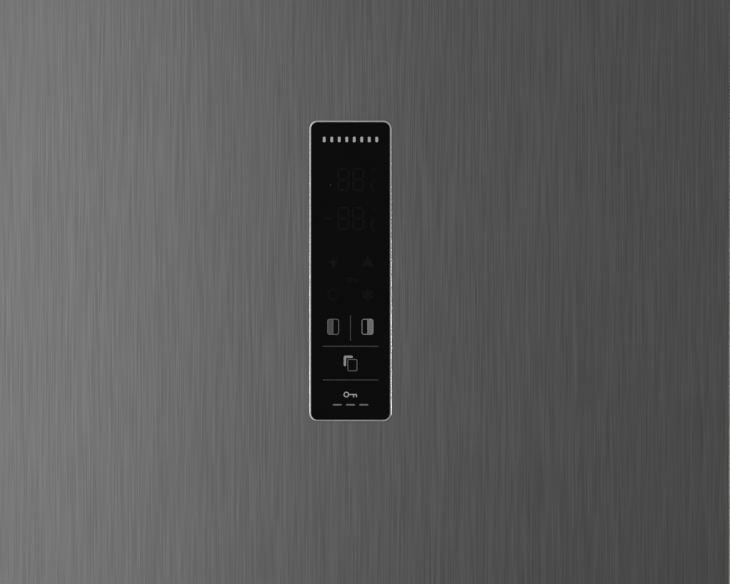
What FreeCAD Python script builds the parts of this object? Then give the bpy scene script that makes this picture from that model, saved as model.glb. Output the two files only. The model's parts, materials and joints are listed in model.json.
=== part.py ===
"""Side-by-side refrigerator with a touch panel in its freezer door, made as separate pieces.

Millimetres. +X points to the right of someone who faces the doors, +Y runs from the doors to the back
and +Z is up. The origin lies on the floor, in the middle of the outline seen from above.
"""

import FreeCAD
import Part
import math
import os

V = FreeCAD.Vector
TINY = 1e-6
THROUGH = 1.0  # how far a cutting shape runs past the face that it cuts

# Cabinet
WIDTH = 895.0
DEPTH = 690.0  # panel bezel to the crests of the beads on the back
CABINET_TOP = 1750.0  # top panel above the floor
FLOOR_GAP = 30.0  # floor to the underside of the base pan
SHEET = 0.8  # steel of the outer panels
SHEET_BEND = 3.0
FRONT_FLANGE = 44.0  # steel turned in at the front, where the gaskets hold
PAN_SHEET = 1.5
PAN_LIP = 20.0
LINER = 2.0  # moulded plastic of the liners
LINER_ROUND = 18.0  # inner corners of a compartment
MULLION = 60.0  # between the two compartments
FREEZER_WALL = 60.0
FRIDGE_WALL = 50.0
TOP_WALL = 58.0
BACK_WALL = 58.0
OPENING_BOTTOM = 124.0  # compartment floor above the ground
STEP_FOAM = 45.0  # insulation over the machine room
FRAME_OVERLAP = 6.0  # steel beam below the compartment floor
MULLION_STRIP = 52.0

# Machine room behind the compartment floor
ROOM_HEIGHT = 235.0
ROOM_DEPTH = 195.0
ROOM_SLOPE = 70.0  # length and height of its slanting corner

# Back panel
BEAD_HEIGHT = 5.0
BEAD_WIDTH = 40.0
BEAD_SLOPE = 6.0
BEAD_OFFSETS = (-330.0, -130.0, 130.0, 330.0)
BEAD_END_GAP = 50.0

# Doors
DOOR_THICKNESS = 60.0
DOOR_BOTTOM = 76.0
DOOR_TOP_DROP = 4.0  # below the top panel
SEAL_GAP = 10.0  # door to cabinet, filled by the gasket
SKIN = 0.8
SKIN_EDGE_ROUND = 8.0
LIP_ROUND = 4.0
DOOR_GAP = 3.0  # between the two doors
CAP_HEIGHT = 16.0
CHANNEL_HALF = 18.0  # half the grip channel between the two skins
LIP_DEPTH = 10.0
GRIP_DEPTH = 22.0
GRIP_OPENING = 26.0
GRIP_ROUND = 7.0
GRIP_WALL = 2.0
DIKE_HEIGHT = 45.0
DIKE_WIDTH = 22.0
DIKE_ROUND = 8.0
DIKE_SIDE_GAP = 8.0
DIKE_MULLION_GAP = 12.0
DIKE_END_GAP = 10.0

# Gasket
GASKET_WIDTH = 14.0
GASKET_SIDE_INSET = 24.0
GASKET_MULLION_INSET = 6.0
GASKET_FOOT = 3.0
GASKET_FOOT_INSET = 3.0
GASKET_NECK = 2.5
GASKET_NECK_INSET = 5.0
GASKET_CLEARANCE = 0.5

# Hinges
HINGE_INSET = 22.0  # pin axis from the side of the cabinet
HINGE_SETBACK = 30.0  # pin axis behind the door skin
PIN_RADIUS = 5.0
PIN_CLEARANCE = 0.05
PIN_ENGAGEMENT = 12.0
HINGE_PLATE = 3.0
HINGE_TONGUE = 15.0  # plate round the pin
TONGUE_ROUND = 13.5
PIN_HEAD_RADIUS = 7.5
HINGE_ARM = 75.0
HINGE_SEAT = 55.0  # plate on the cabinet top
BOTTOM_PLATE = 4.0
BOTTOM_COLLAR = 2.0
COLLAR_RADIUS = 9.0
BOTTOM_FLANGE = 18.0
SEAT_CLEARANCE = 0.3
COVER_HEIGHT = 26.0
COVER_WALL = 2.2
COVER_SIDE_GAP = 3.0
COVER_WIDTH = 118.0
COVER_REACH = 78.0  # behind the cabinet front
COVER_ROUND = 14.0
COVER_TOP_ROUND = 7.0

# Touch panel
PANEL_WIDTH = 46.2
PANEL_HEIGHT = 168.4
PANEL_CENTRE_HEIGHT = 1290.0
PANEL_ROUND = 4.8
BEZEL_PROUD = 1.2
BEZEL_ROUND = 0.46
BEZEL_FACE = 0.95  # visible width of the metal frame
BEZEL_COVER = 0.4  # overlap on the door skin
BEZEL_SEAT = 2.5  # ledge behind the glass
BEZEL_DEPTH = 3.4
BEZEL_CLEARANCE = 0.1
GLASS_DROP = 0.4
GLASS_THICKNESS = 2.0
GLASS_EDGE = 0.24
HOUSING_MARGIN = 3.0
HOUSING_WALL = 2.0
HOUSING_DEPTH = 26.0
BOARD_THICKNESS = 1.6
BOARD_MARGIN = 2.5
DISPLAY_GAP = 0.3
DISPLAY_WIDTH = 34.0
DISPLAY_HEIGHT = 92.0
DISPLAY_DEPTH = 8.0
DISPLAY_RISE = 22.0  # display centre above the panel centre
POST_RADIUS = 2.5
POST_INSET = 6.0

# Shelves, drawers and bins
SHELF_SETBACK = 112.0  # cabinet front to the shelves and drawers
SHELF_GLASS = 4.0
SHELF_SIDE_GAP = 2.0
TRIM_DEPTH = 16.0
TRIM_HEIGHT = 15.5
TRIM_GRIP = 10.0  # glass held by the trim
TRIM_FLOOR = 2.5
TRIM_ROUND = 3.0
REAR_TRIM_DEPTH = 12.0
REAR_TRIM_RISE = 7.5  # above the glass, so that nothing slides off the back
LEDGE_WIDTH = 9.0
LEDGE_HEIGHT = 9.0
LEDGE_START = 22.0
LEDGE_ROUND = 3.0
LEDGE_END_GAP = 14.0
SHELF_REAR_GAP = 5.0
DRAWER_WALL = 2.5
DRAWER_FRONT = 12.0
DRAWER_FRONT_ROUND = 2.2
DRAWER_FLOOR_GAP = 10.0
DRAWER_TOP_GAP = 1.0  # drawer rim to the ledges and the trim of the shelf above
DRAWER_REAR_GAP = 10.0
DRAWER_FLANGE = 3.0
DRAWER_RAIL_GAP = 2.0
DRAWER_SWING_GAP = 2.5  # to the seal of the open door
FLANGE_HOLD = 7.0  # drawer flange on its ledge
DRAWER_ROUND = 10.0
RUN_CLEARANCE = 0.3
PULL_WIDTH = 120.0
PULL_HEIGHT = 22.0
PULL_DROP = 14.0
PULL_DEPTH = 9.0  # of the finger recess in a drawer's front
BIN_DEPTH = 104.0
BIN_HEIGHT = 92.0
BIN_WALL = 2.2
BIN_FLOOR = 2.6
BIN_ROUND = 14.0
BIN_RAIL = 9.0
BIN_RAIL_PROUD = 2.0
BIN_RAIL_ROUND = 1.8
BIN_BACK_GAP = 0.5
LUG_WIDTH = 5.0
LUG_HEIGHT = 9.0
LUG_RISE = 38.0  # lug top above the bin's floor
LUG_INSET = 8.0
EAR_HEIGHT = 7.0
EAR_GAP = 0.6
BIN_SIDE_GAP = 1.0

# Air ducts, evaporator and lamps
FREEZER_DUCT = 76.0
FRIDGE_DUCT = 24.0
DUCT_WALL = 2.5
DUCT_SIDE_GAP = 0.5
DUCT_TOP_GAP = 152.0  # below the ceiling of the compartment
FRIDGE_DUCT_HALF = 117.0
DUCT_ROUND = 8.0
DUCT_EDGE_ROUND = 4.0
VENT_WIDTH = 70.0
VENT_HEIGHT = 7.0
VENT_PITCH = 14.0
VENT_ROWS = 3
VENT_RISE = 92.0  # lowest vent above a shelf
VENT_SPREAD = 62.0  # vents either side of the duct's middle
FAN_HEIGHT = 960.0
FAN_HOLE = 59.0
EVAPORATOR_WIDTH = 270.0
EVAPORATOR_HEIGHT = 220.0
EVAPORATOR_DEPTH = 52.0
EVAPORATOR_RISE = 40.0  # above the step over the machine room
EVAPORATOR_FINS = 12
FIN_SHEET = 0.8
COIL_ROWS = 4
COIL_RADIUS = 4.0
COIL_LAYER_GAP = 26.0
TURN_STRAIGHT = 0.5  # straight run between the two arcs of a coil's turn
LAMP_LENGTH = 110.0
LAMP_WIDTH = 46.0
LAMP_DROP = 9.0
LAMP_ROUND = 12.0
LAMP_EDGE_ROUND = 4.5
LAMP_SETBACK = 150.0

# Fans
FREEZER_ROTOR = 53.0
ROOM_ROTOR = 66.0
HUB_RADIUS = 15.0
HUB_DEPTH = 18.0
BLADES = 5
BLADE_SHEET = 1.8
BLADE_ROOT_CHORD = 19.8
BLADE_ROOT_PITCH = 50.0  # degrees from the plane of the fan
BLADE_TIP_PITCH = 24.0
BLADE_TIP_SHARE = 0.62  # chord at the tip for each unit of the tip's radius
SHAFT_RADIUS = 3.0
SHAFT_CLEARANCE = 0.05
MOTOR_RADIUS = 22.0
MOTOR_LENGTH = 24.0
MOTOR_ROUND = 2.8
MOTOR_ARMS = 3
MOTOR_GAP = 3.0
ARM_SIZE = 6.0
SHROUD_SHEET = 2.0
SHROUD_RIM = 12.0
SHROUD_MARGIN = 8.0
SHROUD_CORNER = 40.0  # cut off below the slanting ceiling
SHROUD_SPACING = 192.0  # fan shroud to the middle of the compressor

# Compressor and cooling circuit
COMPRESSOR_INSET = 185.5  # its middle from the side of the cabinet
COMPRESSOR_RADIUS = 76.0
COMPRESSOR_SEAM = 5.0  # how far the welded band stands out
COMPRESSOR_BAND = 7.0
COMPRESSOR_HEIGHT = 150.0
COMPRESSOR_SEAM_HEIGHT = 67.5
COMPRESSOR_FOOT_ROUND = 23.0
COMPRESSOR_DOME_ROUND = 42.0
COMPRESSOR_PLATE = (190.0, 120.0)
COMPRESSOR_PLATE_SHEET = 3.0
GROMMET_RADIUS = 13.0
GROMMET_HEIGHT = 12.0
GROMMET_WAIST = 9.8
GROMMET_RIM = 3.6
GROMMET_INSET = 16.0
TERMINAL_BOX = (20.0, 54.0, 60.0)
STUB_RADIUS = 4.0
STUB_REACH = 24.0
HOT_STUB_HEIGHT = 38.0
COLD_STUB_HEIGHT = 92.0
TUBE_BEND = 16.0
TUBE_RUN = 32.0  # from a stub's end to the first bend
TUBE_CLEARANCE = 0.6
GAS_BEND = 8.0
GAS_RISE = 21.0  # lowest run of the hot gas tube above the pan
GAS_SIDE = 24.0  # beside the end of the condenser
LIQUID_RADIUS = 1.5
LIQUID_BEND = 8.0
CONDENSER_INSET = 102.5  # from the other side of the cabinet
CONDENSER_FAN_GAP = 130.0
CONDENSER_PASSES = 6
CONDENSER_PITCH = 26.0
CONDENSER_RISE = 52.0  # lowest pass above the pan
CONDENSER_LAYERS = 84.0  # between its two layers
CONDENSER_RADIUS = 3.0
CONDENSER_PLATE = 2.0
CONDENSER_PLATE_INSET = 45.0
DRIER_RADIUS = 9.0
DRIER_LENGTH = 80.0
TRAY_HEIGHT = 30.0
TRAY_WALL = 2.0
TRAY_GAP = 6.0
TRAY_REAR_GAP = 30.0
TRAY_ROUND = 10.0

# Machine cover, kick plate and main board
COVER_SLOT = (60.0, 5.0)
COVER_SLOT_PITCH = (78.0, 15.0)
COVER_SLOT_GRID = (10, 9)
COVER_EDGE_GAP = 0.5
COVER_SCREWS = 4
COVER_SCREW_INSET = 125.0  # outermost screws from the side of the cabinet
GLAND_RADIUS = 11.0
GLAND_HOLE = 5.0
GLAND_PROUD = 4.0
GLAND_INSET = 37.5
KICK_BOTTOM = 14.0
KICK_TOP = 52.0
KICK_DEPTH = 34.0
KICK_WALL = 2.5
KICK_ROUND = 5.0
KICK_SIDE_GAP = 4.0
KICK_SLOT = (5.0, 18.0)
KICK_SLOT_PITCH = 20.0
BOARD_COVER = (180.0, 150.0)
BOARD_COVER_DROP = 180.0  # its middle below the cabinet top
BOARD_COVER_SHEET = 1.5
BOARD_COVER_ROUND = 8.0
BOARD_POCKET_MARGIN = 12.0
BOARD_POCKET_DEPTH = 34.0
BOARD_STANDOFF = 12.0
BOARD_STANDOFF_RADIUS = 4.0
BOARD_STANDOFF_INSET = 6.0
MAIN_BOARD_GAP = 5.0  # to the walls of its pocket
PART_REACH = 17.0  # tallest component on the main board
TRANSFORMER = (32.0, 25.0)
TRANSFORMER_INSET = 13.0  # from the edge of the board
RELAY = (14.0, 20.0)
RELAY_REACH = 12.0
RELAY_PITCH = 26.0
RELAY_COUNT = 3
RELAY_DROP = 35.0  # underside below the top of the board
CAPACITOR_RADIUS = 6.0
CAPACITOR_REACH = 15.5
CAPACITOR_PLACES = ((10.0, -15.0), (32.0, -15.0))  # from the middle of the board
CONNECTOR = (16.0, 34.0)
CONNECTOR_REACH = 8.6
CONNECTOR_INSET = 6.5

# Feet and rollers
FOOT_INSET = 62.0
FOOT_SETBACK = 38.0
FOOT_PAD_RADIUS = 22.0
FOOT_PAD_HEIGHT = 8.0
FOOT_PAD_ROUND = 2.7
FOOT_NUT_RADIUS = 11.0
FOOT_NUT_HEIGHT = 8.0
FOOT_SCREW_RADIUS = 6.0
FOOT_SCREW_TOP = 64.0
FOOT_BOSS_RADIUS = 13.0
FOOT_CLEARANCE = 0.06
ROLLER_RADIUS = 21.0
ROLLER_WIDTH = 17.0
ROLLER_INSET = 74.0
ROLLER_SETBACK = 48.0
ROLLER_GAP = 2.0
ROLLER_CHAMFER = 2.0
ROLLER_RIM = 4.0
ROLLER_DISH = 4.2
ROLLER_HUB_RADIUS = 8.0
AXLE_RADIUS = 4.0
AXLE_PROUD = 1.0
AXLE_CLEARANCE = 0.05
EAR_SHEET = 2.0
EAR_RADIUS = 10.0

# Screws
SCREW_RADIUS = 2.0
SCREW_HEAD_RADIUS = 4.2
SCREW_HEAD_HEIGHT = 2.4
SCREW_HEAD_ROUND = 1.4
SCREW_LENGTH = 6.0
SCREW_CLEARANCE = 0.1
SCREW_INSET = 9.0

# Planes and lines that follow from the sizes above
Y_FRONT = -DEPTH / 2
Y_SKIN = Y_FRONT + BEZEL_PROUD
Y_LIP = Y_SKIN + LIP_DEPTH
Y_GRIP_BACK = Y_LIP + GRIP_OPENING
Y_DOOR_BACK = Y_SKIN + DOOR_THICKNESS
Y_CABINET = Y_DOOR_BACK + SEAL_GAP
Y_BACK = DEPTH / 2 - BEAD_HEIGHT
Y_ROOM = Y_BACK - ROOM_DEPTH
Y_LINER_BACK = Y_BACK - BACK_WALL
Y_SHELF = Y_CABINET + SHELF_SETBACK
Y_HINGE = Y_SKIN + HINGE_SETBACK
A_HINGE = WIDTH / 2 - HINGE_INSET
DOOR_TOP = CABINET_TOP - DOOR_TOP_DROP
OPENING_TOP = CABINET_TOP - TOP_WALL
ROOM_TOP = FLOOR_GAP + ROOM_HEIGHT
PAN_TOP = FLOOR_GAP + PAN_SHEET
STEP_TOP = ROOM_TOP + STEP_FOAM
Y_STEP = Y_ROOM - STEP_FOAM
A_PANEL = (CHANNEL_HALF + WIDTH / 2) / 2
GLASS_FRONT = Y_FRONT + GLASS_DROP
GLASS_BACK = GLASS_FRONT + GLASS_THICKNESS
Y_ROOM_MIDDLE = (Y_ROOM + Y_BACK) / 2
X_COMPRESSOR = WIDTH / 2 - COMPRESSOR_INSET
X_SHROUD = X_COMPRESSOR - SHROUD_SPACING
X_CONDENSER = (CONDENSER_INSET - WIDTH / 2, X_SHROUD - CONDENSER_FAN_GAP)
X_GLAND = GLAND_INSET - WIDTH / 2
DUCT_TOP = OPENING_TOP - DUCT_TOP_GAP
BOARD_COVER_CENTRE = CABINET_TOP - BOARD_COVER_DROP
SHELF_DROP = max(LEDGE_HEIGHT, TRIM_HEIGHT - SHELF_GLASS - TRIM_FLOOR)  # lowest part under a shelf's glass
A_DRAWER_OUT = A_HINGE - (Y_CABINET - GASKET_CLEARANCE - Y_HINGE) - DRAWER_SWING_GAP


class Half:
    """One side of the refrigerator. Sizes named a run outwards from the centre line to its side wall."""

    def __init__(self, name, sign, wall, duct, shelves, bins):
        self.name = name
        self.sign = sign
        self.a_in = MULLION / 2
        self.a_out = WIDTH / 2 - wall
        self.y_duct = Y_LINER_BACK - duct
        self.shelves = shelves  # undersides of the glass, lowest first
        self.bins = bins  # floors of the door bins, lowest first

    def x(self, a):
        return self.sign * a

    @property
    def a_middle(self):
        return (self.a_in + self.a_out) / 2

    def drawer_sides(self):
        """Inner and outer side of a drawer's front; the outer one clears the seal of the open door."""
        return self.a_in + SHELF_SIDE_GAP, min(self.a_out - SHELF_SIDE_GAP, A_DRAWER_OUT)

    def drawers(self):
        """Floor, top and rear of the lower and of the upper drawer."""
        lower, upper = self.shelves[:2]
        return (
            (
                OPENING_BOTTOM + DRAWER_FLOOR_GAP,
                lower - SHELF_DROP - DRAWER_TOP_GAP,
                Y_STEP - DRAWER_REAR_GAP,
            ),
            (
                lower + SHELF_GLASS + DRAWER_FLOOR_GAP,
                upper - SHELF_DROP - DRAWER_TOP_GAP,
                self.y_duct - DRAWER_REAR_GAP,
            ),
        )


FREEZER = Half(
    "freezer", -1, FREEZER_WALL, FREEZER_DUCT,
    (338.0, 556.0, 806.0, 1056.0, 1306.0), (200.0, 470.0, 740.0, 1010.0, 1280.0),
)
FRIDGE = Half(
    "fridge", 1, FRIDGE_WALL, FRIDGE_DUCT,
    (338.0, 556.0, 790.0, 1024.0, 1258.0, 1482.0), (170.0, 480.0, 790.0, 1070.0, 1350.0),
)


# Shapes shared by the pieces

def box(x0, x1, y0, y1, z0, z1):
    corner_low = V(min(x0, x1), min(y0, y1), min(z0, z1))
    return Part.makeBox(abs(x1 - x0), abs(y1 - y0), abs(z1 - z0), corner_low)


def corner_arc(p, before, after, radius):
    """Start, middle and end of the arc that rounds the corner p between its two neighbours."""
    to_before = (before - p).normalize()
    to_after = (after - p).normalize()
    half_angle = to_before.getAngle(to_after) / 2
    reach = radius / math.tan(half_angle)
    inwards = (to_before + to_after).normalize()
    middle = p + inwards * (radius / math.sin(half_angle) - radius)
    return p + to_before * reach, middle, p + to_after * reach


def rounded_path(points, radii, closed=False):
    """Wire of straight runs and tangent arcs; each corner has its own radius, and 0 leaves it sharp."""
    count = len(points)
    arcs = []
    for i, p in enumerate(points):
        is_corner = closed or 0 < i < count - 1
        if is_corner and radii[i] > 0:
            arcs.append(corner_arc(p, points[i - 1], points[(i + 1) % count], radii[i]))
        else:
            arcs.append((p, p, p))
    edges = []
    for i, (start, middle, end) in enumerate(arcs):
        if (start - end).Length > TINY:
            edges.append(Part.Arc(start, middle, end).toShape())
        if closed or i < count - 1:
            following = arcs[(i + 1) % count][0]
            if (following - end).Length > TINY:
                edges.append(Part.LineSegment(end, following).toShape())
    return Part.Wire(edges)


def prism(points, radii, along):
    radii = radii or [0] * len(points)
    return Part.Face(rounded_path(points, radii, closed=True)).extrude(along)


def prism_x(points, x0, x1, radii=None):
    return prism([V(x0, y, z) for y, z in points], radii, V(x1 - x0, 0, 0))


def prism_y(points, y0, y1, radii=None):
    return prism([V(x, y0, z) for x, z in points], radii, V(0, y1 - y0, 0))


def prism_z(points, z0, z1, radii=None):
    return prism([V(x, y, z0) for x, y in points], radii, V(0, 0, z1 - z0))


def rectangle(a0, a1, b0, b1):
    return [(a0, b0), (a1, b0), (a1, b1), (a0, b1)]


def plate_y(x0, x1, z0, z1, y0, y1, radius=0):
    return prism_y(rectangle(x0, x1, z0, z1), y0, y1, [radius] * 4)


def plate_z(x0, x1, y0, y1, z0, z1, radius=0):
    return prism_z(rectangle(x0, x1, y0, y1), z0, z1, [radius] * 4)


def slot_y(x, z, length, height, y0, y1):
    """Cutting shape for a slot with round ends through a wall from y0 to y1."""
    return plate_y(
        x - length / 2, x + length / 2, z - height / 2, z + height / 2,
        y0 - THROUGH, y1 + THROUGH, min(length, height) / 2,
    )


def ring_y(x0, x1, z0, z1, width, y0, y1, radius=0):
    """Picture frame that lies in a plane square to Y."""
    x0, x1 = sorted((x0, x1))
    hole = plate_y(x0 + width, x1 - width, z0 + width, z1 - width, y0, y1, max(radius - width, 0))
    return plate_y(x0, x1, z0, z1, y0, y1, radius).cut(hole)


def cylinder(x, y, z, radius, along):
    return Part.makeCylinder(radius, along.Length, V(x, y, z), along)


def revolve_z(points, x, y):
    """Solid of revolution about the upright line through x, y, from a profile of radius and height."""
    face = Part.Face(Part.makePolygon([V(x + r, y, z) for r, z in points + points[:1]]))
    return face.revolve(V(x, y, 0), V(0, 0, 1), 360)


def tube(points, radius, bend):
    spine = rounded_path([V(*p) for p in points], [bend] * len(points))
    start = V(*points[0])
    ring = Part.Wire(Part.makeCircle(radius, start, V(*points[1]) - start))
    return spine.makePipeShell([ring], True, False)


def fuse(first, *others):
    return first.multiFuse(list(others)).removeSplitter()


def fillet(shape, radius, wanted):
    return shape.makeFillet(radius, [e for e in shape.Edges if wanted(e)])


def on_plane(edge, axis, value):
    """True where the whole edge lies at that height on the axis x, y or z."""
    box_of_edge = edge.BoundBox
    low, high = {
        "x": (box_of_edge.XMin, box_of_edge.XMax),
        "y": (box_of_edge.YMin, box_of_edge.YMax),
        "z": (box_of_edge.ZMin, box_of_edge.ZMax),
    }[axis]
    return abs(low - value) < 1e-3 and abs(high - value) < 1e-3


def grown(points, distance):
    """Polygon moved outwards by the distance, each side parallel to itself; the points run anticlockwise."""
    moved = []
    for i, p in enumerate(points):
        before, after = points[i - 1], points[(i + 1) % len(points)]
        n1 = outward_normal(before, p)
        n2 = outward_normal(p, after)
        scale = distance / (1 + n1[0] * n2[0] + n1[1] * n2[1])
        moved.append((p[0] + (n1[0] + n2[0]) * scale, p[1] + (n1[1] + n2[1]) * scale))
    return moved


def outward_normal(start, end):
    dx, dy = end[0] - start[0], end[1] - start[1]
    length = math.hypot(dx, dy)
    return dy / length, -dx / length


def save(node, *shapes):
    """Writes one piece, or a group of like pieces, as a STEP file of closed solids."""
    solids = [solid for shape in shapes for solid in shape.Solids]
    Part.makeCompound(solids).exportStep(os.path.join("parts", node + ".step"))


# Screws: seat of the head and the way it points

def screw(seat, outward):
    head = Part.makeCylinder(SCREW_HEAD_RADIUS, SCREW_HEAD_HEIGHT, seat, outward)
    head = head.makeFillet(SCREW_HEAD_ROUND, [farthest_edge(head, seat)])
    return fuse(head, Part.makeCylinder(SCREW_RADIUS, SCREW_LENGTH, seat, outward * -1))


def farthest_edge(shape, point):
    circles = [e for e in shape.Edges if isinstance(e.Curve, Part.Circle)]
    return max(circles, key=lambda e: (e.Curve.Center - point).Length)


def screw_hole(seat, outward):
    radius = SCREW_RADIUS + SCREW_CLEARANCE
    return Part.makeCylinder(radius, SCREW_LENGTH + SCREW_CLEARANCE, seat, outward * -1)


def machine_cover_screws():
    z = PAN_TOP + PAN_LIP / 2
    reach = WIDTH / 2 - COVER_SCREW_INSET
    step = 2 * reach / (COVER_SCREWS - 1)
    return [(V(i * step - reach, Y_BACK, z), V(0, 1, 0)) for i in range(COVER_SCREWS)]


def board_cover_screws():
    half_width = BOARD_COVER[0] / 2 - SCREW_INSET
    half_height = BOARD_COVER[1] / 2 - SCREW_INSET
    return [
        (V(x, Y_BACK + BOARD_COVER_SHEET, BOARD_COVER_CENTRE + dz), V(0, 1, 0))
        for x in (-half_width, half_width)
        for dz in (-half_height, half_height)
    ]


def top_hinge_screws():
    y = Y_CABINET + HINGE_SEAT / 2 + SCREW_INSET / 2
    return [
        (V(sign * (A_HINGE - along), y, CABINET_TOP + HINGE_PLATE), V(0, 0, 1))
        for sign in (-1, 1)
        for along in (0, HINGE_ARM / 2, HINGE_ARM - SCREW_INSET)
    ]


def bottom_hinge_screws():
    z = DOOR_BOTTOM - BOTTOM_COLLAR - BOTTOM_PLATE - BOTTOM_FLANGE / 2
    y = Y_CABINET - HINGE_PLATE
    return [
        (V(sign * (A_HINGE - along), y, z), V(0, -1, 0))
        for sign in (-1, 1)
        for along in (SCREW_INSET, HINGE_ARM - SCREW_INSET)
    ]


def holes(*groups):
    return [screw_hole(*place) for group in groups for place in group]


# Cabinet panels

def side_panel(sign):
    """Side sheet whose front edge is turned in."""
    outer = sign * WIDTH / 2
    inner = outer - sign * SHEET
    flange = outer - sign * FRONT_FLANGE
    points = [
        (flange, Y_CABINET), (outer, Y_CABINET), (outer, Y_BACK),
        (inner, Y_BACK), (inner, Y_CABINET + SHEET), (flange, Y_CABINET + SHEET),
    ]
    radii = [0, SHEET_BEND, 0, 0, SHEET_BEND - SHEET, 0]
    return prism_z(points, FLOOR_GAP, CABINET_TOP - SHEET, radii).cut(holes(bottom_hinge_screws()))


def top_panel():
    """Top sheet over both side panels, with its front edge turned down between their flanges."""
    points = [
        (Y_CABINET, CABINET_TOP - FRONT_FLANGE), (Y_CABINET, CABINET_TOP), (Y_BACK, CABINET_TOP),
        (Y_BACK, CABINET_TOP - SHEET), (Y_CABINET + SHEET, CABINET_TOP - SHEET),
        (Y_CABINET + SHEET, CABINET_TOP - FRONT_FLANGE),
    ]
    radii = [0, SHEET_BEND, 0, 0, SHEET_BEND - SHEET, 0]
    half = WIDTH / 2 - FRONT_FLANGE
    middle = prism_x(points, -half, half, radii)
    ends = [
        box(sign * half, sign * WIDTH / 2, Y_CABINET, Y_BACK, CABINET_TOP - SHEET, CABINET_TOP)
        for sign in (-1, 1)
    ]
    return fuse(middle, *ends).cut(holes(top_hinge_screws()))


def back_panel():
    """Rear sheet with stamped beads and a window for the main board."""
    half = WIDTH / 2 - SHEET
    sheet = plate_y(-half, half, ROOM_TOP + PAN_SHEET, CABINET_TOP - SHEET, Y_BACK - SHEET, Y_BACK)
    crest = BEAD_WIDTH / 2 - BEAD_SLOPE
    low, high = ROOM_TOP + PAN_SHEET + BEAD_END_GAP, CABINET_TOP - BEAD_END_GAP
    outsides = []
    insides = []
    for x in BEAD_OFFSETS:
        profile = [
            (x - BEAD_WIDTH / 2, Y_BACK), (x + BEAD_WIDTH / 2, Y_BACK),
            (x + crest, Y_BACK + BEAD_HEIGHT), (x - crest, Y_BACK + BEAD_HEIGHT),
        ]
        outsides.append(prism_z(profile, low, high))
        hollow = [(px, py - SHEET) for px, py in profile]
        insides.append(prism_z(hollow, low + SHEET, high - SHEET))
    pocket = board_pocket()
    return fuse(sheet, *outsides).cut(insides + [pocket] + holes(board_cover_screws()))


def board_pocket():
    """Room behind the back panel for the main board."""
    half_width = BOARD_COVER[0] / 2 - BOARD_POCKET_MARGIN - SCREW_INSET
    half_height = BOARD_COVER[1] / 2 - BOARD_POCKET_MARGIN - SCREW_INSET
    return plate_y(
        -half_width, half_width, BOARD_COVER_CENTRE - half_height, BOARD_COVER_CENTRE + half_height,
        Y_BACK - BOARD_POCKET_DEPTH, Y_BACK, BOARD_COVER_ROUND,
    )


def room_outline():
    """Machine room seen from the side, anticlockwise, running past the back and the underside."""
    return [
        (Y_ROOM, FLOOR_GAP - PAN_SHEET), (Y_BACK + ROOM_SLOPE, FLOOR_GAP - PAN_SHEET),
        (Y_BACK + ROOM_SLOPE, ROOM_TOP), (Y_ROOM + ROOM_SLOPE, ROOM_TOP),
        (Y_ROOM, ROOM_TOP - ROOM_SLOPE),
    ]


def inside_panels():
    """Everything between the side, top and back panels."""
    half = WIDTH / 2 - SHEET
    front = Y_CABINET + SHEET
    space = box(-half, half, front, Y_BACK - SHEET, FLOOR_GAP, CABINET_TOP - SHEET)
    bends = SHEET_BEND - SHEET + SEAT_CLEARANCE
    return fillet(space, bends, lambda e: on_plane(e, "y", front) and not on_plane(e, "z", FLOOR_GAP))


def foot_boss(sign, radius):
    x, y = sign * (WIDTH / 2 - FOOT_INSET), Y_CABINET + FOOT_SETBACK
    return cylinder(x, y, FLOOR_GAP, radius, V(0, 0, FOOT_SCREW_TOP - FLOOR_GAP))


def base_pan():
    """Steel floor with the wall of the machine room, foot bosses, roller ears and axles."""
    half = WIDTH / 2 - SHEET
    wall = prism_x(grown(room_outline(), PAN_SHEET), -half, half).cut(prism_x(room_outline(), -half, half))
    wall = wall.common(inside_panels())
    floor = inside_panels().common(box(-half, half, Y_FRONT, Y_BACK, FLOOR_GAP, PAN_TOP))
    lip = box(-half, half, Y_BACK - SHEET - PAN_SHEET, Y_BACK - SHEET, FLOOR_GAP, PAN_TOP + PAN_LIP)
    bosses = [foot_boss(sign, FOOT_BOSS_RADIUS) for sign in (-1, 1)]
    ears = [ear for sign in (-1, 1) for ear in roller_ears(sign)]
    pan = fuse(floor, wall, lip, *bosses, *ears)
    bores = [foot_boss(sign, FOOT_SCREW_RADIUS + FOOT_CLEARANCE) for sign in (-1, 1)]
    windows = [roller_window(sign) for sign in (-1, 1)]
    return pan.cut(bores + windows + holes(machine_cover_screws()))


def roller_place(sign):
    return sign * (WIDTH / 2 - ROLLER_INSET), Y_BACK - ROLLER_SETBACK


def roller_window(sign):
    x, y = roller_place(sign)
    half = ROLLER_WIDTH / 2 + ROLLER_GAP
    reach = ROLLER_RADIUS + ROLLER_GAP
    return box(x - half, x + half, y - reach, y + reach, FLOOR_GAP - THROUGH, PAN_TOP + THROUGH)


def roller_ears(sign):
    """Two upright ears with round ends that carry a roller's axle, and the riveted axle itself."""
    x, y = roller_place(sign)
    inner = ROLLER_WIDTH / 2 + ROLLER_GAP
    shapes = []
    for way in (-1, 1):
        start = x + way * inner
        along = V(way * EAR_SHEET, 0, 0)
        shapes.append(cylinder(start, y, ROLLER_RADIUS, EAR_RADIUS, along))
        shapes.append(
            box(start, start + along.x, y - EAR_RADIUS, y + EAR_RADIUS, ROLLER_RADIUS, PAN_TOP + EAR_RADIUS)
        )
    reach = inner + EAR_SHEET + AXLE_PROUD
    shapes.append(cylinder(x - reach, y, ROLLER_RADIUS, AXLE_RADIUS, V(2 * reach, 0, 0)))
    return shapes


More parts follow.
